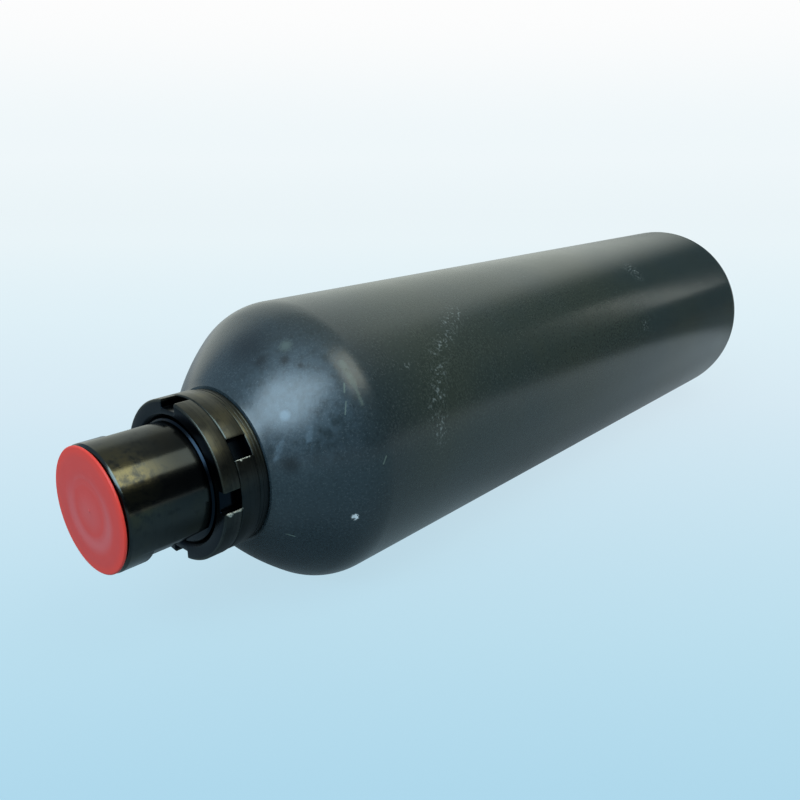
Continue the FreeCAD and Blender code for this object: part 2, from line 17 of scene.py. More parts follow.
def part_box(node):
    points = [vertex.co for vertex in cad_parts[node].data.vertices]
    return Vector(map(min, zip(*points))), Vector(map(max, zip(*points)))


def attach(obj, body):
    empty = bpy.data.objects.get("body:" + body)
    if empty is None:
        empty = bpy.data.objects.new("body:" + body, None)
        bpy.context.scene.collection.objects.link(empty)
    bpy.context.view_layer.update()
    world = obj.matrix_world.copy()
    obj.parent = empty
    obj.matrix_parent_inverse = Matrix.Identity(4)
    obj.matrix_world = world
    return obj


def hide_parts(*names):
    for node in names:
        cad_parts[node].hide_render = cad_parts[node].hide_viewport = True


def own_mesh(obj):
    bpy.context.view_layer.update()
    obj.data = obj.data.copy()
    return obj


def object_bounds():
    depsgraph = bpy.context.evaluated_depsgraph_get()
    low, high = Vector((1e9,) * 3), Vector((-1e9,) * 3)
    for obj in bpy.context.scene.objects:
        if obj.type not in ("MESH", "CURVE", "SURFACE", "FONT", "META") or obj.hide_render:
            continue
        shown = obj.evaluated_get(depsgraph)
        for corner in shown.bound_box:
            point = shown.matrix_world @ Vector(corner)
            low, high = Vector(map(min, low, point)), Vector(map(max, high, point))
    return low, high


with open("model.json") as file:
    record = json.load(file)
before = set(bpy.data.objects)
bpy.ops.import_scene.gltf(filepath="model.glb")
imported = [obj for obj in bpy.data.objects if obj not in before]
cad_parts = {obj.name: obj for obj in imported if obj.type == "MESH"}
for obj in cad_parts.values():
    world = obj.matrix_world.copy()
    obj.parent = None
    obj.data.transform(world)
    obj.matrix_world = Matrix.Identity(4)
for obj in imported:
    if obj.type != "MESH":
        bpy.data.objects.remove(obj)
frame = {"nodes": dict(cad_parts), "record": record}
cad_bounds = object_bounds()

log = logging.getLogger("accumulator")

MM = 0.001
WELD = 0.000001
SHARP = math.radians(25.0)    # edges that turn by more than this are rounded, and never smoothed over
UPWARD = 90.0                 # the angle of straight up, round the axis from +Y
HEXAGON = 6

PICTURE_WHITE = 255
CURVE_START = 0.04045         # up to this share of white, a picture's values are in proportion to light
CURVE_SLOPE = 12.92
CURVE_SHIFT = 0.055
CURVE_POWER = 2.4

Point = tuple[float, float]
Colour = tuple[float, float, float]


class Cut(Enum):
    """What a tool does to a piece."""

    AWAY = "DIFFERENCE"
    COMMON = "INTERSECT"
    JOINED = "UNION"


def seen(red: int, green: int, blue: int) -> Colour:
    """Turns a colour as a picture shows it into the linear one that a shader takes.

    Args:
        red: From 0 to 255, as the other two.
        green: The same.
        blue: The same.

    Returns:
        The linear colour.
    """
    shares = (value / PICTURE_WHITE for value in (red, green, blue))
    return tuple(
        s / CURVE_SLOPE if s <= CURVE_START else ((s + CURVE_SHIFT) / (1 + CURVE_SHIFT)) ** CURVE_POWER
        for s in shares)


def round_axis(along: float, radius: float, degrees: float) -> Vector:
    """Gives a point by its place along the axis, its radius, and its angle from +Y towards +Z."""
    turn = math.radians(degrees)
    return Vector((along, radius * math.cos(turn), radius * math.sin(turn)))


def towards(azimuth: float, elevation: float) -> Vector:
    """Gives the unit vector with an azimuth from +X towards +Y and an elevation, in degrees."""
    flat, up = math.radians(azimuth), math.radians(elevation)
    return Vector((math.cos(up) * math.cos(flat), math.cos(up) * math.sin(flat), math.sin(up)))


def arc(centre: Point, radius: float, start: float, end: float, count: int) -> list[Point]:
    """Spaces points along an arc of a half section.

    Args:
        centre: Centre of the arc, along the axis and out from it.
        radius: Radius of the arc.
        start: Angle of the first point from the outward direction towards the gas end, in radians.
        end: Angle of the last point.
        count: Number of points.

    Returns:
        The points, both ends included.
    """
    turns = [start + (end - start) * k / (count - 1) for k in range(count)]
    return [(centre[0] + radius * math.sin(t), centre[1] + radius * math.cos(t)) for t in turns]


def clear_selection() -> None:
    """Deselects every object."""
    bpy.ops.object.select_all(action="DESELECT")


def work_on(piece: bpy.types.Object) -> None:
    """Makes one object the only one selected, and the active one."""
    clear_selection()
    piece.select_set(True)
    bpy.context.view_layer.objects.active = piece


def settle(piece: bpy.types.Object) -> None:
    """Moves an object's place, turn and scale into its mesh."""
    work_on(piece)
    bpy.ops.object.transform_apply(location=True, rotation=True, scale=True)


def apply_change(piece: bpy.types.Object, change: bpy.types.Modifier) -> None:
    """Applies one modifier."""
    work_on(piece)
    bpy.ops.object.modifier_apply(modifier=change.name)


def turned(name: str, profile: Sequence[Point], steps: int) -> bpy.types.Object:
    """Spins a half section round the X axis, as on a lathe.

    Args:
        name: Name of the new piece.
        profile: Corners, along the axis and out from it. They close on themselves unless both ends
            lie on the axis.
        steps: Number of steps in a full turn.

    Returns:
        The closed piece, its faces outwards.
    """
    clear_selection()
    bpy.ops.mesh.primitive_plane_add(size=MM, location=(profile[0][0], 0.0, profile[0][1]))
    piece = bpy.context.object
    piece.name = piece.data.name = name
    on_axis = profile[0][1] == profile[-1][1] == 0.0
    path = list(profile) if on_axis else [*profile, profile[0]]
    bpy.ops.object.mode_set(mode="EDIT")
    bpy.ops.mesh.select_all(action="SELECT")
    bpy.ops.mesh.merge(type="CENTER")
    for before, after in zip(path, path[1:]):
        step = (after[0] - before[0], 0.0, after[1] - before[1])
        bpy.ops.mesh.extrude_region_move(TRANSFORM_OT_translate={"value": step})
    bpy.ops.mesh.select_all(action="SELECT")
    bpy.ops.mesh.remove_doubles(threshold=WELD)
    bpy.ops.mesh.spin(steps=steps, angle=math.tau, center=(0.0, 0.0, 0.0), axis=(1.0, 0.0, 0.0))
    bpy.ops.mesh.select_all(action="SELECT")
    bpy.ops.mesh.remove_doubles(threshold=WELD)
    bpy.ops.mesh.normals_make_consistent(inside=False)
    bpy.ops.object.mode_set(mode="OBJECT")
    settle(piece)
    return piece


def stood(tool: bpy.types.Object, degrees: float) -> bpy.types.Object:
    """Turns a tool that points straight up to its own angle round the axis.

    Args:
        tool: The tool.
        degrees: The angle, from +Y towards +Z.

    Returns:
        The tool, its turn moved into its mesh.
    """
    tool.matrix_world = Matrix.Rotation(math.radians(degrees - UPWARD), 4, "X") @ tool.matrix_world
    settle(tool)
    return tool


def block(low: Point, high: Point, width: float, degrees: float) -> bpy.types.Object:
    """Makes a cutting block that stands out from the axis.

    Args:
        low: Its lower corner, along the axis and out from it.
        high: Its upper corner.
        width: Its width across.
        degrees: The angle of its outward direction, from +Y towards +Z.

    Returns:
        The block.
    """
    clear_selection()
    middle = ((low[0] + high[0]) / 2, 0.0, (low[1] + high[1]) / 2)
    size = (high[0] - low[0], width, high[1] - low[1])
    bpy.ops.mesh.primitive_cube_add(size=1.0, location=middle, scale=size)
    return stood(bpy.context.object, degrees)


def rod(start: float, end: float, radius: float, corners: int) -> bpy.types.Object:
    """Makes a round or cornered bar along the axis, with a corner straight up.

    Args:
        start: Where it starts along the axis.
        end: Where it ends.
        radius: Its radius, out to its corners.
        corners: Number of its sides.

    Returns:
        The bar.
    """
    clear_selection()
    bpy.ops.mesh.primitive_cylinder_add(
        vertices=corners, radius=radius, depth=end - start,
        location=((start + end) / 2, 0.0, 0.0), rotation=(0.0, math.pi / 2, 0.0))
    bar = bpy.context.object
    settle(bar)
    return bar


def post(low: float, high: float, radius: float, corners: int, place: float, degrees: float,
         ) -> bpy.types.Object:
    """Makes a bar that stands out from the axis.

    Args:
        low: Distance of its foot from the axis.
        high: Distance of its top from the axis.
        radius: Its radius.
        corners: Number of its sides.
        place: Its place along the axis.
        degrees: The angle of its outward direction, from +Y towards +Z.

    Returns:
        The bar.
    """
    clear_selection()
    bpy.ops.mesh.primitive_cylinder_add(
        vertices=corners, radius=radius, depth=high - low, location=(place, 0.0, (low + high) / 2))
    return stood(bpy.context.object, degrees)


def shaped_by(piece: bpy.types.Object, tools: Sequence[bpy.types.Object], cut: Cut = Cut.AWAY) -> None:
    """Works on a piece with each tool in turn, and throws the tools away.

    Args:
        piece: The piece.
        tools: The tools.
        cut: What they do to it.
    """
    for tool in tools:
        change = piece.modifiers.new("cut", "BOOLEAN")
        change.operation = cut.value
        change.solver = "EXACT"
        change.object = tool
        apply_change(piece, change)
        bpy.data.objects.remove(tool, do_unlink=True)


def softened(piece: bpy.types.Object, width: float, segments: int = 2) -> None:
    """Rounds a piece's sharp edges, and shades the rest smoothly.

    Args:
        piece: The piece.
        width: Width of the rounding.
        segments: Number of steps across it.
    """
    change = piece.modifiers.new("edges", "BEVEL")
    change.width = width
    change.segments = segments
    change.limit_method = "ANGLE"
    change.angle_limit = SHARP
    apply_change(piece, change)
    bpy.ops.object.shade_smooth_by_angle(angle=SHARP)


class Catalogue:
    """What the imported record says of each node, and the finishes by slot."""

    def __init__(self, record: dict, finishes: dict[str, bpy.types.Material]) -> None:
        """Reads the bodies and the slots, and keeps the finishes.

        Args:
            record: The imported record.
            finishes: The materials by slot.
        """
        self.bodies = {node: body for body, nodes in record["behaviour"]["bodies"].items() for node in nodes}
        self.slots = {part["node"]: part["material_slot"] for part in record["subparts"]}
        self.finishes = finishes
        self.replaced: set[str] = set()

    def hand_over(self, piece: bpy.types.Object, node: str) -> None:
        """Lets a finished piece stand for its node, on the node's body and in its finish.

        Args:
            piece: The piece.
            node: The node that it replaces.
        """
        slot = self.slots[node]
        piece.data.materials.clear()
        piece.data.materials.append(self.finishes[slot])
        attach(piece, self.bodies[node])
        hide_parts(node)
        self.replaced.add(node)
        log.info("%s: %d faces on %s", piece.name, len(piece.data.polygons), self.bodies[node])

    def dress_the_rest(self, nodes: dict) -> None:
        """Gives every node that is still shown the finish of its slot.

        Args:
            nodes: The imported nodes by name.
        """
        for node, slot in self.slots.items():
            if node not in self.replaced:
                for holder in nodes[node].material_slots:
                    holder.material = self.finishes[slot]
                log.info("%s: carried over in %s", node, slot)


def span(node: str) -> tuple[float, float, float]:
    """Gives where a node starts and ends along the axis, and its greatest radius."""
    low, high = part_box(node)
    return low[0], high[0], high[2]


@dataclass(frozen=True)
class Noise:
    """A noise: its features in each metre, the number of its finer layers and their strength."""

    scale: float
    detail: float = 3.0
    roughness: float = 0.5


class Flow:
    """A socket in a node tree. Python's own signs add the Math nodes of a sum."""

    def __init__(self, recipe: "Recipe", socket: bpy.types.NodeSocket) -> None:
        """Wraps a socket."""
        self.recipe = recipe
        self.socket = socket

    def _sum(self, operation: str, first: "Flow | float", second: "Flow | float" = 0.0) -> "Flow":
        """Adds one Math node."""
        return self.recipe.make("ShaderNodeMath", {"operation": operation}, {0: first, 1: second})

    def __add__(self, other: "Flow | float") -> "Flow":
        """Adds."""
        return self._sum("ADD", self, other)

    def __radd__(self, other: float) -> "Flow":
        """Adds to a number."""
        return self._sum("ADD", other, self)

    def __sub__(self, other: "Flow | float") -> "Flow":
        """Takes away."""
        return self._sum("SUBTRACT", self, other)

    def __rsub__(self, other: float) -> "Flow":
        """Takes away from a number."""
        return self._sum("SUBTRACT", other, self)

    def __mul__(self, other: "Flow | float") -> "Flow":
        """Multiplies."""
        return self._sum("MULTIPLY", self, other)

    def __rmul__(self, other: float) -> "Flow":
        """Multiplies a number."""
        return self._sum("MULTIPLY", other, self)

    def __truediv__(self, other: "Flow | float") -> "Flow":
        """Divides."""
        return self._sum("DIVIDE", self, other)

    def or_more(self, other: "Flow | float") -> "Flow":
        """Gives the larger of two values."""
        return self._sum("MAXIMUM", self, other)

    def size(self) -> "Flow":
        """Gives the value without its sign."""
        return self._sum("ABSOLUTE", self)

    def swing(self, amount: float) -> "Flow":
        """Lets a pattern swing to both sides of 0, by half the amount each way."""
        return (self - 0.5) * amount

    def with_some(self, other: "Flow", share: float) -> "Flow":
        """Gives the weighted mean of two patterns, with the other's share."""
        return self * (1 - share) + other * share

    def rising(self, low: float, high: float) -> "Flow":
        """Gives a smooth mask, 0 at low and 1 at high. It falls instead where low is the larger."""
        return self.recipe.make(
            "ShaderNodeMapRange", {"interpolation_type": "SMOOTHSTEP"},
            {"Value": self, "From Min": low, "From Max": high})


class Recipe:
    """The node tree of a material or the world, with one maker of nodes and the patterns in use."""

    MIX_SHARE, MIX_FIRST, MIX_SECOND, MIX_RESULT = 0, 6, 7, 2    # where a Mix node holds colours

    def __init__(self, tree: bpy.types.NodeTree, coordinates: str = "Object") -> None:
        """Starts on a tree, with the coordinates that its patterns read."""
        self.tree = tree
        self.place = self.make("ShaderNodeTexCoord", {}, {}, coordinates)

    def make(self, kind: str, settings: dict, inputs: dict, output: int | str = 0) -> Flow:
        """Adds a node.

        Args:
            kind: The node's type.
            settings: Its settings, and the stops of a ramp as pairs of place and colour.
            inputs: Values or links by the socket's name or number.
            output: The output that is used.

        Returns:
            That output.
        """
        node = self.tree.nodes.new(kind)
        for name, value in settings.items():
            if name == "stops":
                self._set_stops(node.color_ramp, value)
            else:
                setattr(node, name, value)
        for key, value in inputs.items():
            if isinstance(value, Flow):
                self.tree.links.new(value.socket, node.inputs[key])
            else:
                node.inputs[key].default_value = value
        return Flow(self, node.outputs[output])

    @staticmethod
    def _set_stops(ramp: bpy.types.ColorRamp, stops: Sequence[tuple[float, Colour]]) -> None:
        """Sets the stops of a ramp.

        Args:
            ramp: The ramp.
            stops: Pairs of place and colour, in order.
        """
        while len(ramp.elements) < len(stops):
            ramp.elements.new(1.0)
        for element, (place, colour) in zip(ramp.elements, stops):
            element.position = place
            element.color = (*colour, 1.0)

    def vector(self, operation: str, first: "Flow | Vector", second: "Flow | Vector",
               output: str = "Vector") -> Flow:
        """Adds a Vector Math node."""
        return self.make("ShaderNodeVectorMath", {"operation": operation}, {0: first, 1: second}, output)

    def mixed(self, first: "Flow | Colour", second: "Flow | Colour", share: "Flow | float") -> Flow:
        """Blends two colours.

        Args:
            first: The colour at a share of 0.
            second: The colour at a share of 1.
            share: How much of the second is in it.

        Returns:
            The blended colour.
        """
        colours = [c if isinstance(c, Flow) else (*c, 1.0) for c in (first, second)]
        inputs = {self.MIX_SHARE: share, self.MIX_FIRST: colours[0], self.MIX_SECOND: colours[1]}
        return self.make("ShaderNodeMix", {"data_type": "RGBA"}, inputs, self.MIX_RESULT)

    def parts(self, vector: Flow) -> tuple[Flow, Flow, Flow]:
        """Splits a vector into its three numbers."""
        node = self.tree.nodes.new("ShaderNodeSeparateXYZ")
        self.tree.links.new(vector.socket, node.inputs[0])
        return tuple(Flow(self, output) for output in node.outputs)

    def radius(self) -> Flow:
        """Gives the distance from the X axis."""
        flat = self.vector("MULTIPLY", self.place, Vector((0.0, 1.0, 1.0)))
        return self.make("ShaderNodeVectorMath", {"operation": "LENGTH"}, {0: flat}, "Value")

    def noise(self, pattern: Noise, place: Flow | None = None) -> Flow:
        """Adds a noise, from 0 to 1.

        Args:
            pattern: The noise.
            place: The coordinates, if not the piece's own.

        Returns:
            The noise's value.
        """
        inputs = {"Vector": place or self.place, "Scale": pattern.scale, "Detail": pattern.detail,
                  "Roughness": pattern.roughness}
        return self.make("ShaderNodeTexNoise", {}, inputs, "Fac")

    def turning_marks(self, pattern: Noise) -> Flow:
        """Gives the fine rings that a lathe leaves on rims and faces alike.

        Args:
            pattern: The noise that spaces them.

        Returns:
            Their height.
        """
        along = self.parts(self.place)[0]
        section = self.make("ShaderNodeCombineXYZ", {}, {0: along, 1: self.radius(), 2: 0.0})
        return self.noise(pattern, section)

    def near(self, centre: Vector, radius: float, soft: float) -> Flow:
        """Gives a round spot, 1 inside and 0 outside.

        Args:
            centre: Its centre.
            radius: Its radius.
            soft: The share of the radius over which it fades.

        Returns:
            The mask.
        """
        distance = self.vector("DISTANCE", self.place, centre, "Value")
        return distance.rising(radius * (1 + soft), radius * (1 - soft))

    def streak(self, start: Vector, end: Vector, width: float, soft: float) -> Flow:
        """Gives a narrow mark from one point to another, 1 on it and 0 beside it.

        Args:
            start: Where it starts.
            end: Where it ends.
            width: Half its width.
            soft: The share of the width over which it fades.

        Returns:
            The mask.
        """
        line = end - start
        offset = self.vector("SUBTRACT", self.place, start)
        share = self.vector("DOT_PRODUCT", offset, line / line.length_squared, "Value")
        inside = self.make("ShaderNodeClamp", {}, {"Value": share})
        foot = self.make("ShaderNodeVectorMath", {"operation": "SCALE"}, {0: line, "Scale": inside})
        distance = self.vector("DISTANCE", offset, foot, "Value")
        return distance.rising(width * (1 + soft), width * (1 - soft))

    def raised(self, height: Flow, depth: float) -> Flow:
        """Turns a pattern from 0 to 1 into a Normal, with its height in metres."""
        inputs = {"Strength": 1.0, "Distance": depth, "Height": height}
        return self.make("ShaderNodeBump", {}, inputs, "Normal")


class Coat(Recipe):
    """A material on a Principled shader."""

    def __init__(self, name: str) -> None:
        """Starts a new material."""
        self.material = bpy.data.materials.new(name)
        self.material.use_nodes = True
        super().__init__(self.material.node_tree)
        self.shader = self.tree.nodes["Principled BSDF"]

    def set(self, **sockets: "Flow | float | Colour") -> bpy.types.Material:
        """Sets or links the shader's sockets, named with underscores for spaces.

        Args:
            **sockets: A value or a link for each socket.

        Returns:
            The finished material.
        """
        for name, value in sockets.items():
            socket = self.shader.inputs[name.replace("_", " ")]
            if isinstance(value, Flow):
                self.tree.links.new(value.socket, socket)
            elif isinstance(value, tuple):
                socket.default_value = (*value, 1.0)
            else:
                socket.default_value = value
        return self.material


@dataclass(frozen=True)
class Spot:
    """A round mark, in millimetres and degrees. It lies on the shell unless it has a radius of its own."""

    along: float
    angle: float
    size: float
    soft: float = 0.9
    strength: float = 1.0
    radius: float | None = None

    def mask(self, coat: Coat) -> Flow:
        """Gives its strength on the mark, and 0 outside it."""
        centre = surface(self.along, self.angle, self.radius)
        return coat.near(centre, self.size * MM, self.soft) * self.strength


@dataclass(frozen=True)
class Line:
    """A narrow mark, in millimetres and degrees. It lies on the shell unless it has a radius of its own."""

    start: Point
    end: Point
    width: float
    soft: float = 0.9
    strength: float = 1.0
    radius: float | None = None

    def mask(self, coat: Coat) -> Flow:
        """Gives its strength on the mark, and 0 beside it."""
        ends = (surface(*end, self.radius) for end in (self.start, self.end))
        return coat.streak(*ends, self.width * MM, self.soft) * self.strength


def surface(along: float, angle: float, radius: float | None) -> Vector:
    """Gives a point on the outside of the shell, or on a radius.

    Args:
        along: Its place along the axis, in millimetres.
        angle: Its angle from +Y towards +Z, in degrees.
        radius: The radius in millimetres, if it isn't on the shell.

    Returns:
        The point.
    """
    out = Shell().outside(along * MM) if radius is None else radius * MM
    return round_axis(along * MM, out, angle)


def all_of(coat: Coat, *marks: Spot | Line) -> Flow:
    """Joins marks in one mask.

    Args:
        coat: The material that they are on.
        *marks: The marks.

    Returns:
        The mask, as strong at each point as the strongest mark there.
    """
    masks = [mark.mask(coat) for mark in marks]
    joined = masks[0]
    for mask in masks[1:]:
        joined = joined.or_more(mask)
    return joined


@dataclass(frozen=True)
class ShellPaint:
    """Dark slate satin paint with a fine grain, the marks that the vessel carries, and a painted reflection
    and a painted sheen on the fluid end's dome.
    """

    slot: str = "shell_paint"
    colour: Colour = seen(48, 59, 59)
    olive: Colour = seen(54, 61, 54)
    blue: Colour = seen(38, 49, 54)
    pale: Colour = seen(146, 155, 156)
    # The colour of the scuffs, and of the painted sheen lines on the dome's shoulder.
    scuff_and_sheen_colour: Colour = seen(98, 112, 104)
    # Pale blue of a painted reflection of the window on the dome, with a dusty smear in it.
    bloom: Colour = seen(104, 124, 138)
    bare: Colour = seen(214, 220, 222)
    dark: Colour = seen(16, 24, 28)

    clouds: Noise = Noise(9.0, 4.0)
    fog: Noise = Noise(38.0, 4.0, 0.6)
    grain: Noise = Noise(820.0, 3.0, 0.75)
    peel: Noise = Noise(420.0)
    ragged: Noise = Noise(260.0)
    flecks: Noise = Noise(650.0)
    chipped: Noise = Noise(900.0, 2.0)

    olive_from: Point = (0.35, 0.7)
    blue_end: Point = (92 * MM, 165 * MM)
    dark_grain: Point = (0.52, 0.30)
    dark_share: float = 0.55
    pale_grain: Point = (0.54, 0.82)
    pale_share: float = 0.11

    roughness: float = 0.26
    fog_rough: float = 0.10
    grain_rough: float = 0.16
    scuff_rough: float = 0.1
    speckle_rough: float = 0.2
    glossy_from: Point = (200 * MM, 480 * MM)
    glossier: float = 0.06
    peel_height: float = 0.6
    grain_height: float = 0.5
    chip_height: float = -0.8
    height: float = 0.05 * MM
    ior: float = 1.5

    # The pale patch on the dome is a painted reflection of the window with a dusty smear: its main spot, its
    # bright core as a painted glint, and its ragged lower edge.
    painted_reflection: Spot = Spot(84, 136, 24, strength=0.30)
    painted_reflection_mix: Point = (0.6, 0.8)
    painted_reflection_from: Point = (0.45, 0.85)
    painted_glint: Spot = Spot(77, 141, 2.6, 0.7, strength=0.75)
    painted_reflection_tails: tuple[Line, ...] = (
        Line((72.5, 152), (69.5, 160), 2.6, strength=0.40),
        Line((82.5, 152), (79.5, 162), 2.2, strength=0.40))
    painted_reflection_tails_from: Point = (0.40, 0.62)
    chain: tuple[Line, ...] = (
        Line((203, 124), (168, 141), 4.5), Line((166, 143), (150, 163), 4.5),
        Line((150, 163), (152, 170), 5.5))
    chain_from: Point = (0.36, 0.60)
    specks: tuple[Spot, ...] = (
        Spot(427, 127, 7), Spot(399, 160, 3), Spot(142, 141.7, 1.8, strength=0.6))
    flecks_from: Point = (0.53, 0.66)
    fleck_share: float = 0.65
    # Painted sheen: the overhead lamp's reflection on the dome's shoulder, painted pale along these lines.
    painted_sheen_streaks: tuple[Line, ...] = (
        Line((105.0, 133), (104.8, 142), 1.5, 0.75, 0.34), Line((104.8, 141), (104.4, 150), 0.8, 0.8, 0.34))
    painted_sheen_streaks_from: Point = (0.2, 0.5)
    scuffs: tuple[Spot | Line, ...] = (
        Spot(92.1, 112.7, 2.6, strength=0.35),
        Line((101.0, 140.5), (99.4, 143.5), 0.35, 0.6, 0.7),
        Line((98.4, 147.0), (96.2, 151.5), 0.25, 0.6, 0.7),
        Line((109.5, 171.0), (107.5, 173.5), 0.35, 0.6, 0.7),
        Line((77.0, -147.0), (74.0, -146.6), 0.3, 0.6, 0.7))
    stains: tuple[Spot | Line, ...] = (
        Spot(82.2, 108.8, 3.6, strength=0.8), Spot(90.9, 124.8, 1.5, strength=0.8),
        Spot(73.5, 167.1, 3.6, strength=0.8), Spot(88.0, 118.0, 2.2, strength=0.8),
        Spot(84.0, 96.0, 10.0, strength=0.8), Line((160, -137), (147, -168), 0.9, 0.5, 0.45))
    chip: Spot = Spot(95.7, -165.2, 1.8, 0.3)
    chip_from: Point = (0.40, 0.52)

    def make(self) -> bpy.types.Material:
        """Builds the material.

        Returns:
            The material.
        """
        coat = Coat(self.slot)
        along = coat.parts(coat.place)[0]
        fog = coat.noise(self.fog)
        grain = coat.noise(self.grain)
        colour = coat.mixed(self.colour, self.olive, coat.noise(self.clouds).rising(*self.olive_from))
        colour = coat.mixed(self.blue, colour, along.rising(*self.blue_end))
        colour = coat.mixed(colour, self.dark, grain.rising(*self.dark_grain) * self.dark_share)
        colour = coat.mixed(colour, self.pale, grain.rising(*self.pale_grain) * self.pale_share)
        smear_and_painted_reflection, speckle, scuff_and_painted_sheen, stain, bare = self._marks(coat, fog)
        # The first layer paints the window's reflection on the dome.
        layers = ((self.bloom, smear_and_painted_reflection), (self.dark, stain), (self.scuff_and_sheen_colour, scuff_and_painted_sheen), (self.pale, speckle),
                  (self.bare, bare))
        for tone, mask in layers:
            colour = coat.mixed(colour, tone, mask)
        rough = self.roughness + fog.swing(self.fog_rough) + grain.swing(self.grain_rough)
        rough = rough + scuff_and_painted_sheen * self.scuff_rough + speckle * self.speckle_rough
        rough = rough - along.rising(*self.glossy_from) * self.glossier
        relief = coat.noise(self.peel) * self.peel_height + grain * self.grain_height
        relief = relief + bare * self.chip_height
        return coat.set(
            Base_Color=colour, Roughness=rough, Normal=coat.raised(relief, self.height), IOR=self.ior)

    def _marks(self, coat: Coat, fog: Flow) -> tuple[Flow, Flow, Flow, Flow, Flow]:
        """Gives the masks of the marks.

        Args:
            coat: The material that they are on.
            fog: A soft cloudy pattern that breaks up their edges.

        Returns:
            The pale patch on the dome, which is a painted reflection of the window with a painted glint and
            a dusty smear, the speckles, the scuffs with the painted sheen lines, the dark stains and the
            bare chip.
        """
        ragged = coat.noise(self.ragged)
        fog_part, ragged_part = self.painted_reflection_mix
        painted_reflection = all_of(coat, self.painted_reflection) * (fog * fog_part + ragged * ragged_part).rising(*self.painted_reflection_from)
        painted_reflection_tails = all_of(coat, *self.painted_reflection_tails) * ragged.rising(*self.painted_reflection_tails_from)
        smear_and_painted_reflection = painted_reflection.or_more(all_of(coat, self.painted_glint)).or_more(painted_reflection_tails)
        chain = all_of(coat, *self.chain) * ragged.rising(*self.chain_from)
        flecks = coat.noise(self.flecks).rising(*self.flecks_from) * self.fleck_share
        speckle = chain.or_more(all_of(coat, *self.specks)) * flecks
        painted_sheen_streaks = all_of(coat, *self.painted_sheen_streaks) * ragged.rising(*self.painted_sheen_streaks_from)
        # The scuffs, joined with the painted sheen lines.
        scuff_and_painted_sheen = painted_sheen_streaks.or_more(all_of(coat, *self.scuffs))
        chip = all_of(coat, self.chip) * coat.noise(self.chipped).rising(*self.chip_from)
        return smear_and_painted_reflection, speckle, scuff_and_painted_sheen, all_of(coat, *self.stains), chip


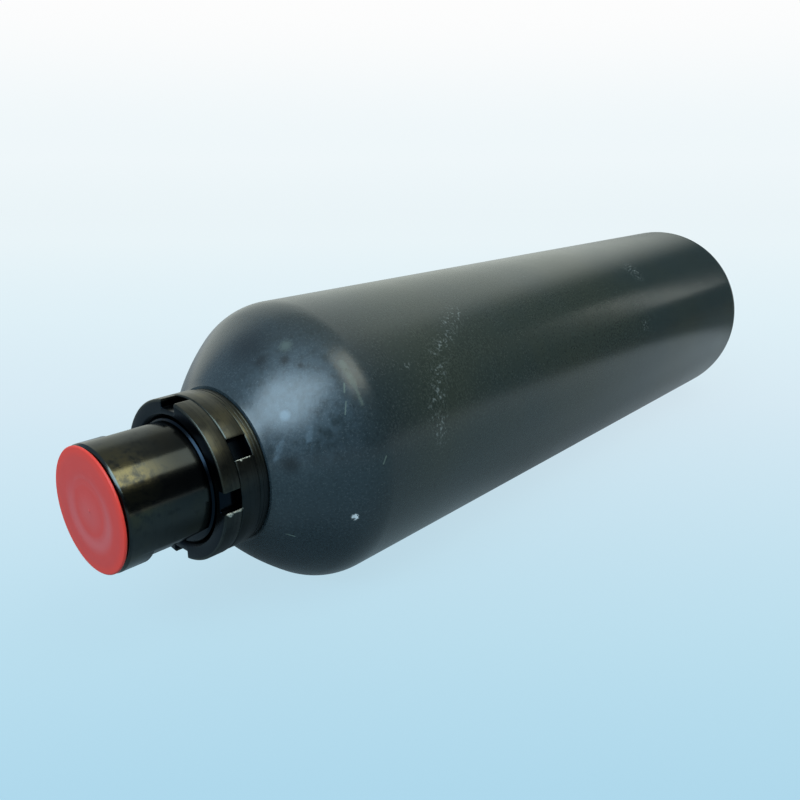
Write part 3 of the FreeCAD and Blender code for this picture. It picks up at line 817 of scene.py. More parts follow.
@dataclass(frozen=True)
class BlackenedSteel:
    """Turned steel, blackened and oiled: brown in random clouds and blue-black on the nuts' faces, with a
    painted brass-coloured highlight on the tube, a painted brown sheen on the tops of the rims and painted
    shade under them.
    """

    slot: str = "black_steel"
    colour: Colour = seen(63, 66, 65)
    brown: Colour = seen(68, 68, 61)
    # The colour of the painted sheen on the tops of the rims and of the painted highlight on the tube.
    painted_brassy_sheen: Colour = seen(96, 91, 68)
    # The colour of painted shade on the tube, and of random dark blotches and rings.
    shadow: Colour = seen(34, 37, 39)
    # Blue-black: on the nuts' faces, and under the rims as painted shade.
    deep: Colour = seen(24, 31, 38)
    worn: Colour = seen(196, 196, 184)

    rings: Noise = Noise(2600.0, 2.0)
    clouds: Noise = Noise(60.0, 4.0)
    blotches: Noise = Noise(230.0, 4.0, 0.65)
    fine: Noise = Noise(1100.0)
    chipped: Noise = Noise(1300.0, 2.0)

    nuts_from: Point = (40.5 * MM, 41.0 * MM)
    rear_from: Point = (50 * MM, 51 * MM)
    rim_from: Point = (38.5 * MM, 39.3 * MM)
    # The tops of the rims carry a painted sheen, and their undersides painted shade.
    upper_from: Point = (-2 * MM, 16 * MM)
    brown_from: Point = (0.4, 0.7)
    painted_brown_on_top_rims: float = 0.8
    painted_sheen_from: Point = (0.46, 0.66)
    painted_sheen_on_rims: float = 0.35
    painted_shade_under_rims: float = 0.5
    dark_blotches: Point = (0.50, 0.30)
    blotch_share: float = 0.40
    dark_rings: Point = (0.5, 0.75)
    ring_share: float = 0.5

    # A painted highlight on the tube, the window's reflection painted brass-coloured, which starts past the
    # end chamfer.
    glow: Spot = Spot(4, 141, 14, strength=0.85, radius=30)
    glow_from: Point = (0.8 * MM, 1.6 * MM)
    glow_blotches: Point = (0.28, 0.6)
    # Painted shade where that highlight fades along the tube.
    painted_shade_patch: Spot = Spot(36, 136, 17, 0.8, 0.85, radius=30)
    nicks: tuple[Line, ...] = (
        Line((42.0, -173.6), (50.0, -172.4), 0.8, 0.4, radius=40.1),
        Line((41.8, -174.5), (44.0, -171.5), 1.1, 0.4, radius=40.1),
        Line((51.6, 154.4), (58.6, 154.7), 0.4, 0.4, radius=40.1),
        Line((52.6, 153.6), (53.8, 155.2), 0.6, 0.4, radius=40.1))
    nicks_from: Point = (0.30, 0.44)

    roughness: float = 0.16
    rim_rough: float = 0.12
    nut_rough: float = 0.06
    ring_rough: float = 0.14
    blotch_rough: float = 0.10
    nick_rough: float = 0.2
    nick_metal: float = 0.4
    fine_share: float = 0.4
    height: float = 0.012 * MM

    def make(self) -> bpy.types.Material:
        """Builds the material.

        Returns:
            The material.
        """
        coat = Coat(self.slot)
        along, _, up = coat.parts(coat.place)
        rings = coat.turning_marks(self.rings)
        clouds = coat.noise(self.clouds)
        blotches = coat.noise(self.blotches)
        nuts = along.rising(*self.nuts_from)
        rim = nuts * coat.radius().rising(*self.rim_from)
        upper = up.rising(*self.upper_from)
        lower = (1.0 - upper) * along.rising(*self.rear_from)
        glow = all_of(coat, self.glow) * along.rising(*self.glow_from) * blotches.rising(*self.glow_blotches)
        nicks = all_of(coat, *self.nicks) * coat.noise(self.chipped).rising(*self.nicks_from)
        layers = (
            (self.brown, clouds.rising(*self.brown_from)),
            # Painted sheen on the tops of the rims, and painted shade under them.
            (self.brown, rim * upper * self.painted_brown_on_top_rims),
            (self.painted_brassy_sheen, rim * upper * clouds.rising(*self.painted_sheen_from) * self.painted_sheen_on_rims),
            (self.deep, rim * lower * self.painted_shade_under_rims),
            # A painted highlight on the tube, then painted shade where it fades.
            (self.painted_brassy_sheen, glow),
            (self.shadow, all_of(coat, self.painted_shade_patch) * (1.0 - nuts)),
            (self.shadow, blotches.rising(*self.dark_blotches) * self.blotch_share),
            (self.shadow, rings.rising(*self.dark_rings) * self.ring_share),
            (self.deep, nuts * (1.0 - rim)),
            (self.worn, nicks),
        )
        colour = self.colour
        for tone, mask in layers:
            colour = coat.mixed(colour, tone, mask)
        rough = self.roughness + rim * self.rim_rough + nuts * self.nut_rough + nicks * self.nick_rough
        rough = rough + rings.swing(self.ring_rough) + blotches.swing(self.blotch_rough)
        relief = rings.with_some(coat.noise(self.fine), self.fine_share)
        return coat.set(
            Base_Color=colour, Metallic=1.0 - nicks * (1 - self.nick_metal), Roughness=rough,
            Normal=coat.raised(relief, self.height))


@dataclass(frozen=True)
class PlugPlastic:
    """Matt red moulded plastic, bright at its rim, with a painted highlight in a wide ring round its gate
    and a little in its middle, stronger towards the bottom.
    """

    slot: str = "red_plastic"
    colour: Colour = seen(200, 60, 54)
    bright: Colour = seen(214, 58, 46)
    # Pale pink: a painted highlight on the dished ring, and the mould flow marks in it.
    painted_highlight_and_flow_pink: Colour = seen(192, 92, 92)
    clouds: Noise = Noise(120.0)
    flow: Noise = Noise(420.0)
    flow_bend: float = 0.004
    flow_from: Point = (0.52, 0.72)
    flow_share: float = 0.45
    bright_from: Point = (24 * MM, 28.8 * MM)
    ring: float = 16.0 * MM
    ring_fade: Point = (5.5 * MM, 0.5 * MM)
    ring_share: float = 0.75
    middle_fade: Point = (14 * MM, 2 * MM)
    middle_share: float = 0.45
    lower_from: Point = (18 * MM, -6 * MM)
    upper_share: float = 0.25
    roughness: float = 0.46
    ring_rough: float = 0.1
    cloud_rough: float = 0.1
    flow_height: float = 0.4
    height: float = 0.05 * MM
    ior: float = 1.42

    def make(self) -> bpy.types.Material:
        """Builds the material.

        Returns:
            The material.
        """
        coat = Coat(self.slot)
        out = coat.radius()
        up = coat.parts(coat.place)[2]
        clouds = coat.noise(self.clouds)
        bent = coat.make("ShaderNodeCombineXYZ", {}, {0: out, 1: clouds * self.flow_bend})
        flow = coat.noise(self.flow, bent)
        # A painted highlight: pale in a wide ring round the gate and a little in the middle, stronger
        # towards the bottom, with mould flow marks in the ring.
        ring = (out - self.ring).size().rising(*self.ring_fade)
        middle = out.rising(*self.middle_fade) * self.middle_share
        lower = up.rising(*self.lower_from) * (1 - self.upper_share) + self.upper_share
        colour = coat.mixed(self.colour, self.bright, out.rising(*self.bright_from))
        colour = coat.mixed(colour, self.painted_highlight_and_flow_pink, (ring * self.ring_share).or_more(middle) * lower)
        colour = coat.mixed(colour, self.painted_highlight_and_flow_pink, flow.rising(*self.flow_from) * ring * self.flow_share)
        rough = self.roughness + ring * self.ring_rough + clouds.swing(self.cloud_rough)
        relief = clouds.with_some(flow, self.flow_height)
        return coat.set(
            Base_Color=colour, Roughness=rough, Normal=coat.raised(relief, self.height), IOR=self.ior)


@dataclass(frozen=True)
class TurnedMetal:
    """Bare or plated metal with the rings that a lathe leaves."""

    slot: str
    colour: Colour
    tarnish: Colour
    roughness: float
    rings: Noise = Noise(3200.0, 2.0)
    clouds: Noise = Noise(90.0, 4.0)
    tarnish_from: Point = (0.4, 0.75)
    tarnish_share: float = 0.6
    ring_rough: float = 0.16
    cloud_rough: float = 0.1
    height: float = 0.008 * MM

    def make(self) -> bpy.types.Material:
        """Builds the material.

        Returns:
            The material.
        """
        coat = Coat(self.slot)
        rings = coat.turning_marks(self.rings)
        clouds = coat.noise(self.clouds)
        tarnished = clouds.rising(*self.tarnish_from) * self.tarnish_share
        rough = self.roughness + rings.swing(self.ring_rough) + clouds.swing(self.cloud_rough)
        return coat.set(
            Base_Color=coat.mixed(self.colour, self.tarnish, tarnished), Metallic=1.0, Roughness=rough,
            Normal=coat.raised(rings, self.height))


@dataclass(frozen=True)
class Moulded:
    """Rubber or plastic from a mould, with a fine skin."""

    slot: str
    colour: Colour
    bloom: Colour
    roughness: float
    clouds: Noise = Noise(70.0)
    skin: Noise = Noise(1400.0, 2.0)
    bloom_from: Point = (0.4, 0.75)
    bloom_share: float = 0.5
    cloud_rough: float = 0.12
    height: float = 0.03 * MM

    def make(self) -> bpy.types.Material:
        """Builds the material.

        Returns:
            The material.
        """
        coat = Coat(self.slot)
        clouds = coat.noise(self.clouds)
        bloomed = clouds.rising(*self.bloom_from) * self.bloom_share
        return coat.set(
            Base_Color=coat.mixed(self.colour, self.bloom, bloomed),
            Roughness=self.roughness + clouds.swing(self.cloud_rough),
            Normal=coat.raised(coat.noise(self.skin), self.height))


FINISHES = (
    ShellPaint(),
    BlackenedSteel(),
    PlugPlastic(),
    TurnedMetal("plated_steel", colour=seen(200, 199, 190), tarnish=seen(176, 170, 146), roughness=0.34),
    TurnedMetal("machined_steel", colour=seen(176, 178, 180), tarnish=seen(150, 150, 148), roughness=0.3),
    TurnedMetal("spring_steel", colour=seen(132, 132, 134), tarnish=seen(96, 94, 90), roughness=0.32),
    TurnedMetal("brass", colour=seen(214, 182, 108), tarnish=seen(170, 136, 76), roughness=0.28),
    TurnedMetal("bronze", colour=seen(190, 140, 90), tarnish=seen(146, 106, 70), roughness=0.4),
    Moulded("seal_rubber", colour=seen(24, 24, 25), bloom=seen(40, 40, 41), roughness=0.5),
    Moulded("bladder_rubber", colour=seen(30, 30, 31), bloom=seen(52, 52, 52), roughness=0.62),
    Moulded("white_plastic", colour=seen(232, 230, 222), bloom=seen(214, 210, 198), roughness=0.42),
    Moulded("black_plastic", colour=seen(28, 28, 29), bloom=seen(40, 40, 41), roughness=0.45),
)


@dataclass
class Shell:
    """The painted vessel: a seamless tube, drawn in at both ends to a faced neck."""

    wall: float = 8.0 * MM
    shoulder_arc: float = 30.0 * MM
    shoulder_turn: float = math.radians(36.0)
    crown_arc: float = 150.0 * MM
    fluid_bore: float = 36.0 * MM
    fluid_neck: float = 40.6 * MM
    fluid_edge: float = 0.3 * MM
    fluid_depth: float = 20.0 * MM
    gas_bore: float = 11.3 * MM
    gas_neck: float = 24.0 * MM
    gas_edge: float = 1.0 * MM
    gas_depth: float = 14.0 * MM
    seal_recess: Point = (3.0 * MM, 14.4 * MM)
    steps: int = 256
    arc_points: int = 14

    def _half(self, face: float, side: int, neck: float, edge: float, inside: Sequence[Point],
              ) -> list[Point]:
        """Gives the outline of one end, from the straight part's outside round to its inside.

        Args:
            face: Where the neck's face is.
            side: 1 at the gas end, -1 at the fluid end.
            neck: Radius at which the dome would meet the face.
            edge: Chamfer at the neck's rim.
            inside: Corners of the bore, from the face to the seat inside.

        Returns:
            The corners.
        """
        radius = span("shell")[2]
        lip = face - side * edge
        lip_radius = neck + edge * math.tan(self._crown_turn(radius - neck))
        turn = self._crown_turn(radius - lip_radius)
        shoulder = self.shoulder_arc * math.sin(self.shoulder_turn)
        crown = self.crown_arc * (math.sin(turn) - math.sin(self.shoulder_turn))
        middle = lip - side * (shoulder + crown)
        shift = (self.crown_arc - self.shoulder_arc) * math.sin(self.shoulder_turn)
        low = radius - self.shoulder_arc
        crown_low = low - (self.crown_arc - self.shoulder_arc) * math.cos(self.shoulder_turn)
        crown_centre = (middle - side * shift, crown_low)
        seat = inside[-1][0]
        inner_turn = math.asin(abs(seat - crown_centre[0]) / (self.crown_arc - self.wall))
        bend = side * self.shoulder_turn
        points = arc((middle, low), self.shoulder_arc, 0.0, bend, self.arc_points)
        points += arc(crown_centre, self.crown_arc, bend, side * turn, self.arc_points)[1:]
        points += [(face, lip_radius - edge), *inside]
        points += arc(crown_centre, self.crown_arc - self.wall, side * inner_turn, bend, self.arc_points)
        points += arc((middle, low), self.shoulder_arc - self.wall, bend, 0.0, self.arc_points)[1:]
        return points

    def outside(self, along: float) -> float:
        """Gives the outside radius of the fluid end's dome, or of the straight part.

        Args:
            along: The place along the axis.

        Returns:
            The radius there.
        """
        face, _, radius = span("shell")
        crown = math.sin(self._crown_turn(radius - self.fluid_neck)) - math.sin(self.shoulder_turn)
        middle = face + self.shoulder_arc * math.sin(self.shoulder_turn) + self.crown_arc * crown
        back = middle - along
        if back <= 0:
            return radius
        if back <= self.shoulder_arc * math.sin(self.shoulder_turn):
            return radius - self.shoulder_arc + math.sqrt(self.shoulder_arc ** 2 - back ** 2)
        excess = self.crown_arc - self.shoulder_arc
        low = radius - self.shoulder_arc - excess * math.cos(self.shoulder_turn)
        return low + math.sqrt(self.crown_arc ** 2 - (back + excess * math.sin(self.shoulder_turn)) ** 2)

    def _crown_turn(self, drop: float) -> float:
        """Gives the angle at which the crown has drawn in by the drop."""
        start = math.cos(self.shoulder_turn)
        return math.acos(start - (drop - self.shoulder_arc * (1 - start)) / self.crown_arc)

    def build(self, catalogue: Catalogue) -> None:
        """Turns the shell and hands it over.

        Args:
            catalogue: What the record says of each node.
        """
        start, end, _ = span("shell")
        seat = end - self.gas_depth
        recess, recess_radius = self.seal_recess
        far = self._half(end, 1, self.gas_neck, self.gas_edge, [
            (end, self.gas_bore), (seat + recess, self.gas_bore), (seat + recess, recess_radius),
            (seat, recess_radius)])
        near = self._half(start, -1, self.fluid_neck, self.fluid_edge, [
            (start, self.fluid_bore), (start + self.fluid_depth, self.fluid_bore)])
        piece = turned("vessel_shell", far + near[::-1], self.steps)
        work_on(piece)
        bpy.ops.object.shade_smooth_by_angle(angle=SHARP)
        catalogue.hand_over(piece, "shell")


@dataclass
class FluidPort:
    """The fluid port: its threaded body with the bleed screw, two slotted nuts, the spacer and the plug."""

    slip: float = 0.15 * MM
    end_chamfer: float = 1.2 * MM
    thread_bore: float = 19.9 * MM
    thread_depth: float = 24.0 * MM
    thread_pitch: float = 2.0 * MM
    thread_height: float = 1.1 * MM
    relief: float = 3.0 * MM
    relief_radius: float = 21.3 * MM
    mouth: float = 1.6 * MM
    outer_bore: float = 18.0 * MM
    inner_bore: float = 22.0 * MM
    web: Point = (66.0 * MM, 78.0 * MM)
    web_bore: float = 9.0 * MM
    web_holes: int = 8
    web_hole_radius: float = 3.3 * MM
    web_hole_circle: float = 14.0 * MM
    collar: float = 11.0 * MM
    collar_radius: float = 35.5 * MM
    collar_chamfer: float = 1.0 * MM
    seat: float = 6.0 * MM
    tube_radius: float = 30.0 * MM
    outer_thread: float = 30.9 * MM
    outer_thread_lead: float = 0.2 * MM
    flat: float = 27.5 * MM
    flat_start: float = 13.0 * MM
    flat_angle: float = 55.7
    bleed_place: float = 31.0 * MM
    bleed_seat: float = 25.1 * MM
    bleed_sink_radius: float = 6.95 * MM
    bleed_bore: float = 4.0 * MM
    bleed_head: Point = (26.1 * MM, 28.3 * MM)
    bleed_head_radius: float = 6.8 * MM
    bleed_shank: float = 5.6 * MM
    bleed_shank_radius: float = 3.95 * MM
    bleed_socket: float = 2.89 * MM
    bleed_socket_depth: float = 3.0 * MM
    nut_edge: float = 0.6 * MM
    nut_mouth: float = 2.3 * MM
    slots: int = 4
    slot_width: float = 10.5 * MM
    slot_depth: float = 4.5 * MM
    front_slot: float = 0.0
    rear_slot: float = 57.0
    spacer_edge: float = 0.5 * MM
    spacer_flange: float = 5.8 * MM
    spigot_radius: float = 35.85 * MM
    spacer_lines: int = 2
    spacer_line_pitch: float = 1.95 * MM
    spacer_line: Point = (0.4 * MM, 0.2 * MM)
    plug_dish: Point = (13.5 * MM, 0.3 * MM)
    plug_dish_rim: float = 6.0 * MM
    plug_dish_steps: int = 8
    plug_edge: float = 0.6 * MM
    plug_gap: float = 0.9 * MM
    plug_root: float = 19.75 * MM
    plug_tip: float = 19.25 * MM
    plug_wall: float = 1.6 * MM
    gate_radius: float = 0.9 * MM
    gate_height: float = 0.22 * MM
    round_edge: float = 0.22 * MM
    line_edge: float = 0.044 * MM
    cutter_height: float = 36.0 * MM
    cutter_width: float = 66.0 * MM
    head_corners: int = 64
    bore_corners: int = 48
    hole_corners: int = 32
    steps: int = 160

    def build(self, catalogue: Catalogue) -> None:
        """Builds and hands over the pieces of the port.

        Args:
            catalogue: What the record says of each node.
        """
        catalogue.hand_over(self._body(), "port_body")
        nuts = (
            ("front_nut", "front_slotted_nut", self.front_slot),
            ("rear_nut", "rear_slotted_nut", self.rear_slot),
        )
        for name, node, first_slot in nuts:
            catalogue.hand_over(self._nut(name, node, first_slot), node)
        catalogue.hand_over(self._spacer(), "spacer_ring")
        catalogue.hand_over(self._plug(), "port_plug")
        catalogue.hand_over(self._bleed_screw(), "bleed_screw")

    def _threads(self) -> list[Point]:
        """Gives the flanks of the inner thread, from its mouth to the relief.

        Returns:
            Their corners.
        """
        points: list[Point] = []
        place = self.mouth
        while place + self.thread_pitch < self.thread_depth:
            points.append((place, self.thread_bore))
            points.append((place + self.thread_pitch / 2, self.thread_bore + self.thread_height))
            place += self.thread_pitch
        return [*points, (place, self.thread_bore)]

    def _body(self) -> bpy.types.Object:
        """Turns the port body, mills its flats and drills its web and bleed hole.

        Returns:
            The body.
        """
        end = span("port_body")[1]
        collar = end - self.collar
        relief_end = self.thread_depth + self.relief
        tube = span("front_slotted_nut")[0] - self.outer_thread_lead
        step = self.outer_thread - self.tube_radius
        profile = [
            (0.0, self.thread_bore + self.mouth), (0.0, self.tube_radius - self.end_chamfer),
            (self.end_chamfer, self.tube_radius), (tube, self.tube_radius),
            (tube + step, self.outer_thread), (collar, self.outer_thread), (collar, self.collar_radius),
            (end - self.collar_chamfer, self.collar_radius), (end, self.collar_radius - self.collar_chamfer),
            (end, self.inner_bore + self.seat), (end - self.seat, self.inner_bore),
            (self.web[1], self.inner_bore), (self.web[1], self.web_bore), (self.web[0], self.web_bore),
            (self.web[0], self.outer_bore), (relief_end, self.outer_bore), (relief_end, self.relief_radius),
            (self.thread_depth, self.relief_radius), *self._threads()[::-1],
        ]
        body = turned("fluid_port_body", profile, self.steps)
        tools = [
            block((self.flat_start, self.flat), (tube, self.cutter_height), self.cutter_width,
                  self.flat_angle + side)
            for side in (0.0, 180.0)
        ]
        tools.append(post(self.bleed_seat, self.cutter_height, self.bleed_sink_radius, self.head_corners,
                          self.bleed_place, self.flat_angle))
        tools.append(post(self.outer_bore / 2, self.tube_radius, self.bleed_bore, self.bore_corners,
                          self.bleed_place, self.flat_angle))
        start, finish = self.web
        for k in range(self.web_holes):
            tool = rod(start - self.seat, finish + self.seat, self.web_hole_radius, self.hole_corners)
            tool.location = round_axis(0.0, self.web_hole_circle, UPWARD + 360 * k / self.web_holes)
            settle(tool)
            tools.append(tool)
        shaped_by(body, tools)
        softened(body, self.round_edge)
        return body

    def _nut(self, name: str, node: str, first_slot: float) -> bpy.types.Object:
        """Turns a round nut and cuts its slots.

        Args:
            name: Name of the new piece.
            node: The node that it stands for.
            first_slot: The angle of one slot.

        Returns:
            The nut.
        """
        start, end, _ = span(node)
        radius = span("rear_slotted_nut")[2]
        bore = self.outer_thread + self.slip
        profile = [
            (start, bore + self.nut_mouth), (start, radius - self.nut_edge), (start + self.nut_edge, radius),
            (end - self.nut_edge, radius), (end, radius - self.nut_edge), (end, bore + self.nut_mouth),
            (end - self.nut_mouth, bore), (start + self.nut_mouth, bore),
        ]
        nut = turned(name, profile, self.steps)
        slots = [
            block((start - MM, radius - self.slot_depth), (end + MM, radius + MM), self.slot_width,
                  first_slot + 360 * k / self.slots)
            for k in range(self.slots)
        ]
        shaped_by(nut, slots)
        softened(nut, self.round_edge)
        return nut

    def _spacer(self) -> bpy.types.Object:
        """Turns the spacer ring with the fine lines round its rim.

        Returns:
            The ring.
        """
        start, end, radius = span("spacer_ring")
        face = start + self.spacer_flange
        bore = self.outer_thread + self.slip
        line, depth = self.spacer_line
        rim: list[Point] = [(start + self.spacer_edge, radius)]
        for k in range(self.spacer_lines):
            place = start + (k + 1) * self.spacer_line_pitch
            rim += [(place, radius), (place, radius - depth), (place + line, radius - depth),
                    (place + line, radius)]
        profile = [
            (start, bore), (start, radius - self.spacer_edge), *rim, (face - self.spacer_edge, radius),
            (face, radius - self.spacer_edge), (face, self.spigot_radius), (end, self.spigot_radius),
            (end, bore),
        ]
        spacer = turned("neck_spacer", profile, self.steps)
        softened(spacer, self.line_edge, segments=1)
        return spacer

    def _plug(self) -> bpy.types.Object:
        """Turns the transport plug with its dished face and its moulding gate.

        Returns:
            The plug.
        """
        face, tip, radius = span("port_plug")
        dish, drop = self.plug_dish
        profile = [
            (face + drop - self.gate_height, 0.0), (face + drop - self.gate_height, self.gate_radius / 2),
            (face + drop, self.gate_radius), (face + drop, dish), *self._dish_rim(face),
            (face, radius - self.plug_edge), (face + self.plug_edge, radius), (-self.plug_gap, radius),
            (-self.plug_gap, self.plug_root), (0.0, self.plug_root), (tip, self.plug_tip),
            (tip, self.plug_tip - self.plug_wall), (-self.plug_gap, self.plug_root - self.plug_wall),
            (-self.plug_gap, 0.0),
        ]
        plug = turned("transport_plug", profile, self.steps)
        softened(plug, self.round_edge, segments=3)
        return plug

    def _dish_rim(self, face: float) -> list[Point]:
        """Gives the soft slope from the plug's dish up to its face.

        Args:
            face: Where the face is.

        Returns:
            The corners, without the first, which ends the dish.
        """
        dish, drop = self.plug_dish
        points: list[Point] = []
        for k in range(1, self.plug_dish_steps):
            share = k / self.plug_dish_steps
            fall = drop * (1 + math.cos(math.pi * share)) / 2
            points.append((face + fall, dish + self.plug_dish_rim * share))
        return [*points, (face, dish + self.plug_dish_rim)]

    def _bleed_screw(self) -> bpy.types.Object:
        """Makes the bleed screw: a round head with a hexagonal socket, on its shank.

        Returns:
            The screw.
        """
        foot, top = self.bleed_head
        screw = post(foot, top, self.bleed_head_radius, self.head_corners, self.bleed_place, self.flat_angle)
        screw.name = screw.data.name = "bleed_plug_screw"
        shank = post(foot - self.bleed_shank, foot + MM, self.bleed_shank_radius, self.bore_corners,
                     self.bleed_place, self.flat_angle)
        socket = post(top - self.bleed_socket_depth, top + MM, self.bleed_socket, HEXAGON,
                      self.bleed_place, self.flat_angle)
        shaped_by(screw, [shank], Cut.JOINED)
        shaped_by(screw, [socket])
        softened(screw, self.round_edge)
        return screw


@dataclass
class GasEnd:
    """The fastening at the gas end: a washer, a lock nut and the guard cap over the valve."""

    stem: float = 11.0 * MM
    slip: float = 0.15 * MM
    nut_flats: float = 32.0 * MM
    nut_corner_angle: float = math.radians(30.0)
    cap_end: float = 2.5 * MM
    cap_edge: float = 1.5 * MM
    cap_flats: float = 27.0 * MM
    cap_flats_length: float = 12.0 * MM
    round_edge: float = 0.25 * MM
    steps: int = 128

    def build(self, catalogue: Catalogue) -> None:
        """Builds and hands over the three pieces.

        Args:
            catalogue: What the record says of each node.
        """
        catalogue.hand_over(self._washer(), "stem_washer")
        catalogue.hand_over(self._lock_nut(), "stem_lock_nut")
        catalogue.hand_over(self._cap(), "valve_guard_cap")

    def _washer(self) -> bpy.types.Object:
        """Turns the washer.

        Returns:
            The washer.
        """
        start, end, radius = span("stem_washer")
        bore = self.stem + self.slip
        profile = [(start, bore), (start, radius), (end, radius), (end, bore)]
        washer = turned("neck_washer", profile, self.steps)
        softened(washer, self.round_edge)
        return washer

    def _lock_nut(self) -> bpy.types.Object:
        """Cuts the lock nut from a hexagonal bar, and turns its corners off.

        Returns:
            The nut.
        """
        start, end, _ = span("stem_lock_nut")
        bore = self.stem + self.slip
        corner = self.nut_flats / math.sqrt(3)
        fall = (corner - self.nut_flats / 2) * math.tan(self.nut_corner_angle)
        nut = rod(start, end, corner, HEXAGON)
        nut.name = nut.data.name = "neck_lock_nut"
        blank = turned("blank", [
            (start - fall, bore), (start, self.nut_flats / 2), (start + fall, corner), (end - fall, corner),
            (end, self.nut_flats / 2), (end + fall, bore),
        ], self.steps)
        shaped_by(nut, [blank], Cut.COMMON)
        shaped_by(nut, [rod(start - MM, end + MM, bore, self.steps)])
        softened(nut, self.round_edge)
        return nut

    def _cap(self) -> bpy.types.Object:
        """Turns the guard cap and mills its two flats.

        Returns:
            The cap.
        """
        start, tip, _ = span("valve_guard_cap")
        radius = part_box("valve_guard_cap")[1][1]
        bore = self.stem + self.slip
        profile = [
            (tip, 0.0), (tip, radius - self.cap_edge), (tip - self.cap_edge, radius),
            (start + self.cap_edge / 2, radius), (start, radius - self.cap_edge / 2), (start, bore),
            (tip - self.cap_end, bore), (tip - self.cap_end, 0.0),
        ]
        cap = turned("valve_guard", profile, self.steps)
        flats = [
            block((tip - self.cap_flats_length, self.cap_flats / 2), (tip + MM, 2 * radius), 4 * radius,
                  UPWARD + side)
            for side in (0.0, 180.0)
        ]
        shaped_by(cap, flats)
        softened(cap, self.round_edge)
        return cap


@dataclass(frozen=True)
class Spring:
    """A compression spring with closed, ground ends."""

    node: str
    joint: str
    wire: float
    turns: int
    travel: float
    closed_halves: int = 2
    closed_pitch: float = 1.08
    points_each_half: int = 14
    wire_steps: int = 3
    smooth_angle: float = math.radians(40.0)

    def build(self, catalogue: Catalogue) -> None:
        """Coils the spring, grinds its ends and hands it over.

        Args:
            catalogue: What the record says of each node.
        """
        start, end, outside = span(self.node)
        clear_selection()
        bpy.ops.curve.primitive_nurbs_path_add()
        coil = bpy.context.object
        coil.name = coil.data.name = self.node + "_wire"
        coil.data.splines.clear()
        spline = coil.data.splines.new("POLY")
        places = self._line(start, end, outside - self.wire)
        spline.points.add(len(places) - 1)
        for point, place in zip(spline.points, places):
            point.co = (*place, 1.0)
        coil.data.dimensions = "3D"
        coil.data.bevel_depth = self.wire
        coil.data.bevel_resolution = self.wire_steps
        coil.data.use_fill_caps = True
        bpy.ops.object.convert(target="MESH")
        coil = bpy.context.object
        self._grind(coil, start, end)
        bpy.ops.object.shade_smooth_by_angle(angle=self.smooth_angle)
        catalogue.hand_over(coil, self.node)
        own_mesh(coil)

    def _line(self, start: float, end: float, radius: float) -> list[Vector]:
        """Gives the wire's middle line, with its end turns lying close together.

        Args:
            start: Where the ground end lies that stays.
            end: Where the other one lies.
            radius: Mean radius of the coil.

        Returns:
            The points.
        """
        halves = 2 * self.turns
        closed = self.closed_pitch * self.wire
        open_rise = (end - start - self.wire - 2 * self.closed_halves * closed) / (
            halves - 2 * self.closed_halves)
        points: list[Vector] = []
        place = start + self.wire / 2
        for k in range(halves):
            rise = open_rise if self.closed_halves <= k < halves - self.closed_halves else closed
            for j in range(self.points_each_half):
                share = j / self.points_each_half
                points.append(round_axis(place + rise * share, radius, 180 * (k + share)))
            place += rise
        return [*points, round_axis(place, radius, 180 * halves)]

    @staticmethod
    def _grind(coil: bpy.types.Object, start: float, end: float) -> None:
        """Cuts both ends of the coil flat.

        Args:
            coil: The coil, which is the active object.
            start: Where its first end lies.
            end: Where its other end lies.
        """
        for place, inwards in ((start, 1.0), (end, -1.0)):
            bpy.ops.object.mode_set(mode="EDIT")
            bpy.ops.mesh.select_all(action="SELECT")
            bpy.ops.mesh.bisect(plane_co=(place, 0.0, 0.0), plane_no=(inwards, 0.0, 0.0), use_fill=True,
                                clear_inner=True, threshold=WELD)
            bpy.ops.object.mode_set(mode="OBJECT")


SPRINGS = (
    Spring("poppet_spring", "poppet_slide", wire=1.2 * MM, turns=6, travel=10.0 * MM),
    Spring("valve_core_spring", "gas_pin_slide", wire=0.25 * MM, turns=3, travel=1.5 * MM),
)


@dataclass(frozen=True)
class SoftBox:
    """A soft lamp that faces the vessel."""

    name: str
    azimuth: float
    elevation: float
    distance: float
    width: float
    height: float
    power: float
    colour: Colour
    mirrored: bool = True

    def hang(self, target: Vector) -> None:
        """Adds the lamp.

        Args:
            target: What it faces.
        """
        data = bpy.data.lights.new(self.name, "AREA")
        data.shape = "RECTANGLE"
        data.size = self.width
        data.size_y = self.height
        data.energy = self.power
        data.color = self.colour
        lamp = bpy.data.objects.new(self.name, data)
        lamp.visible_glossy = self.mirrored
        bpy.context.scene.collection.objects.link(lamp)
        out = towards(self.azimuth, self.elevation)
        lamp.location = target + self.distance * out
        lamp.rotation_euler = out.to_track_quat("Z", "Y").to_euler()


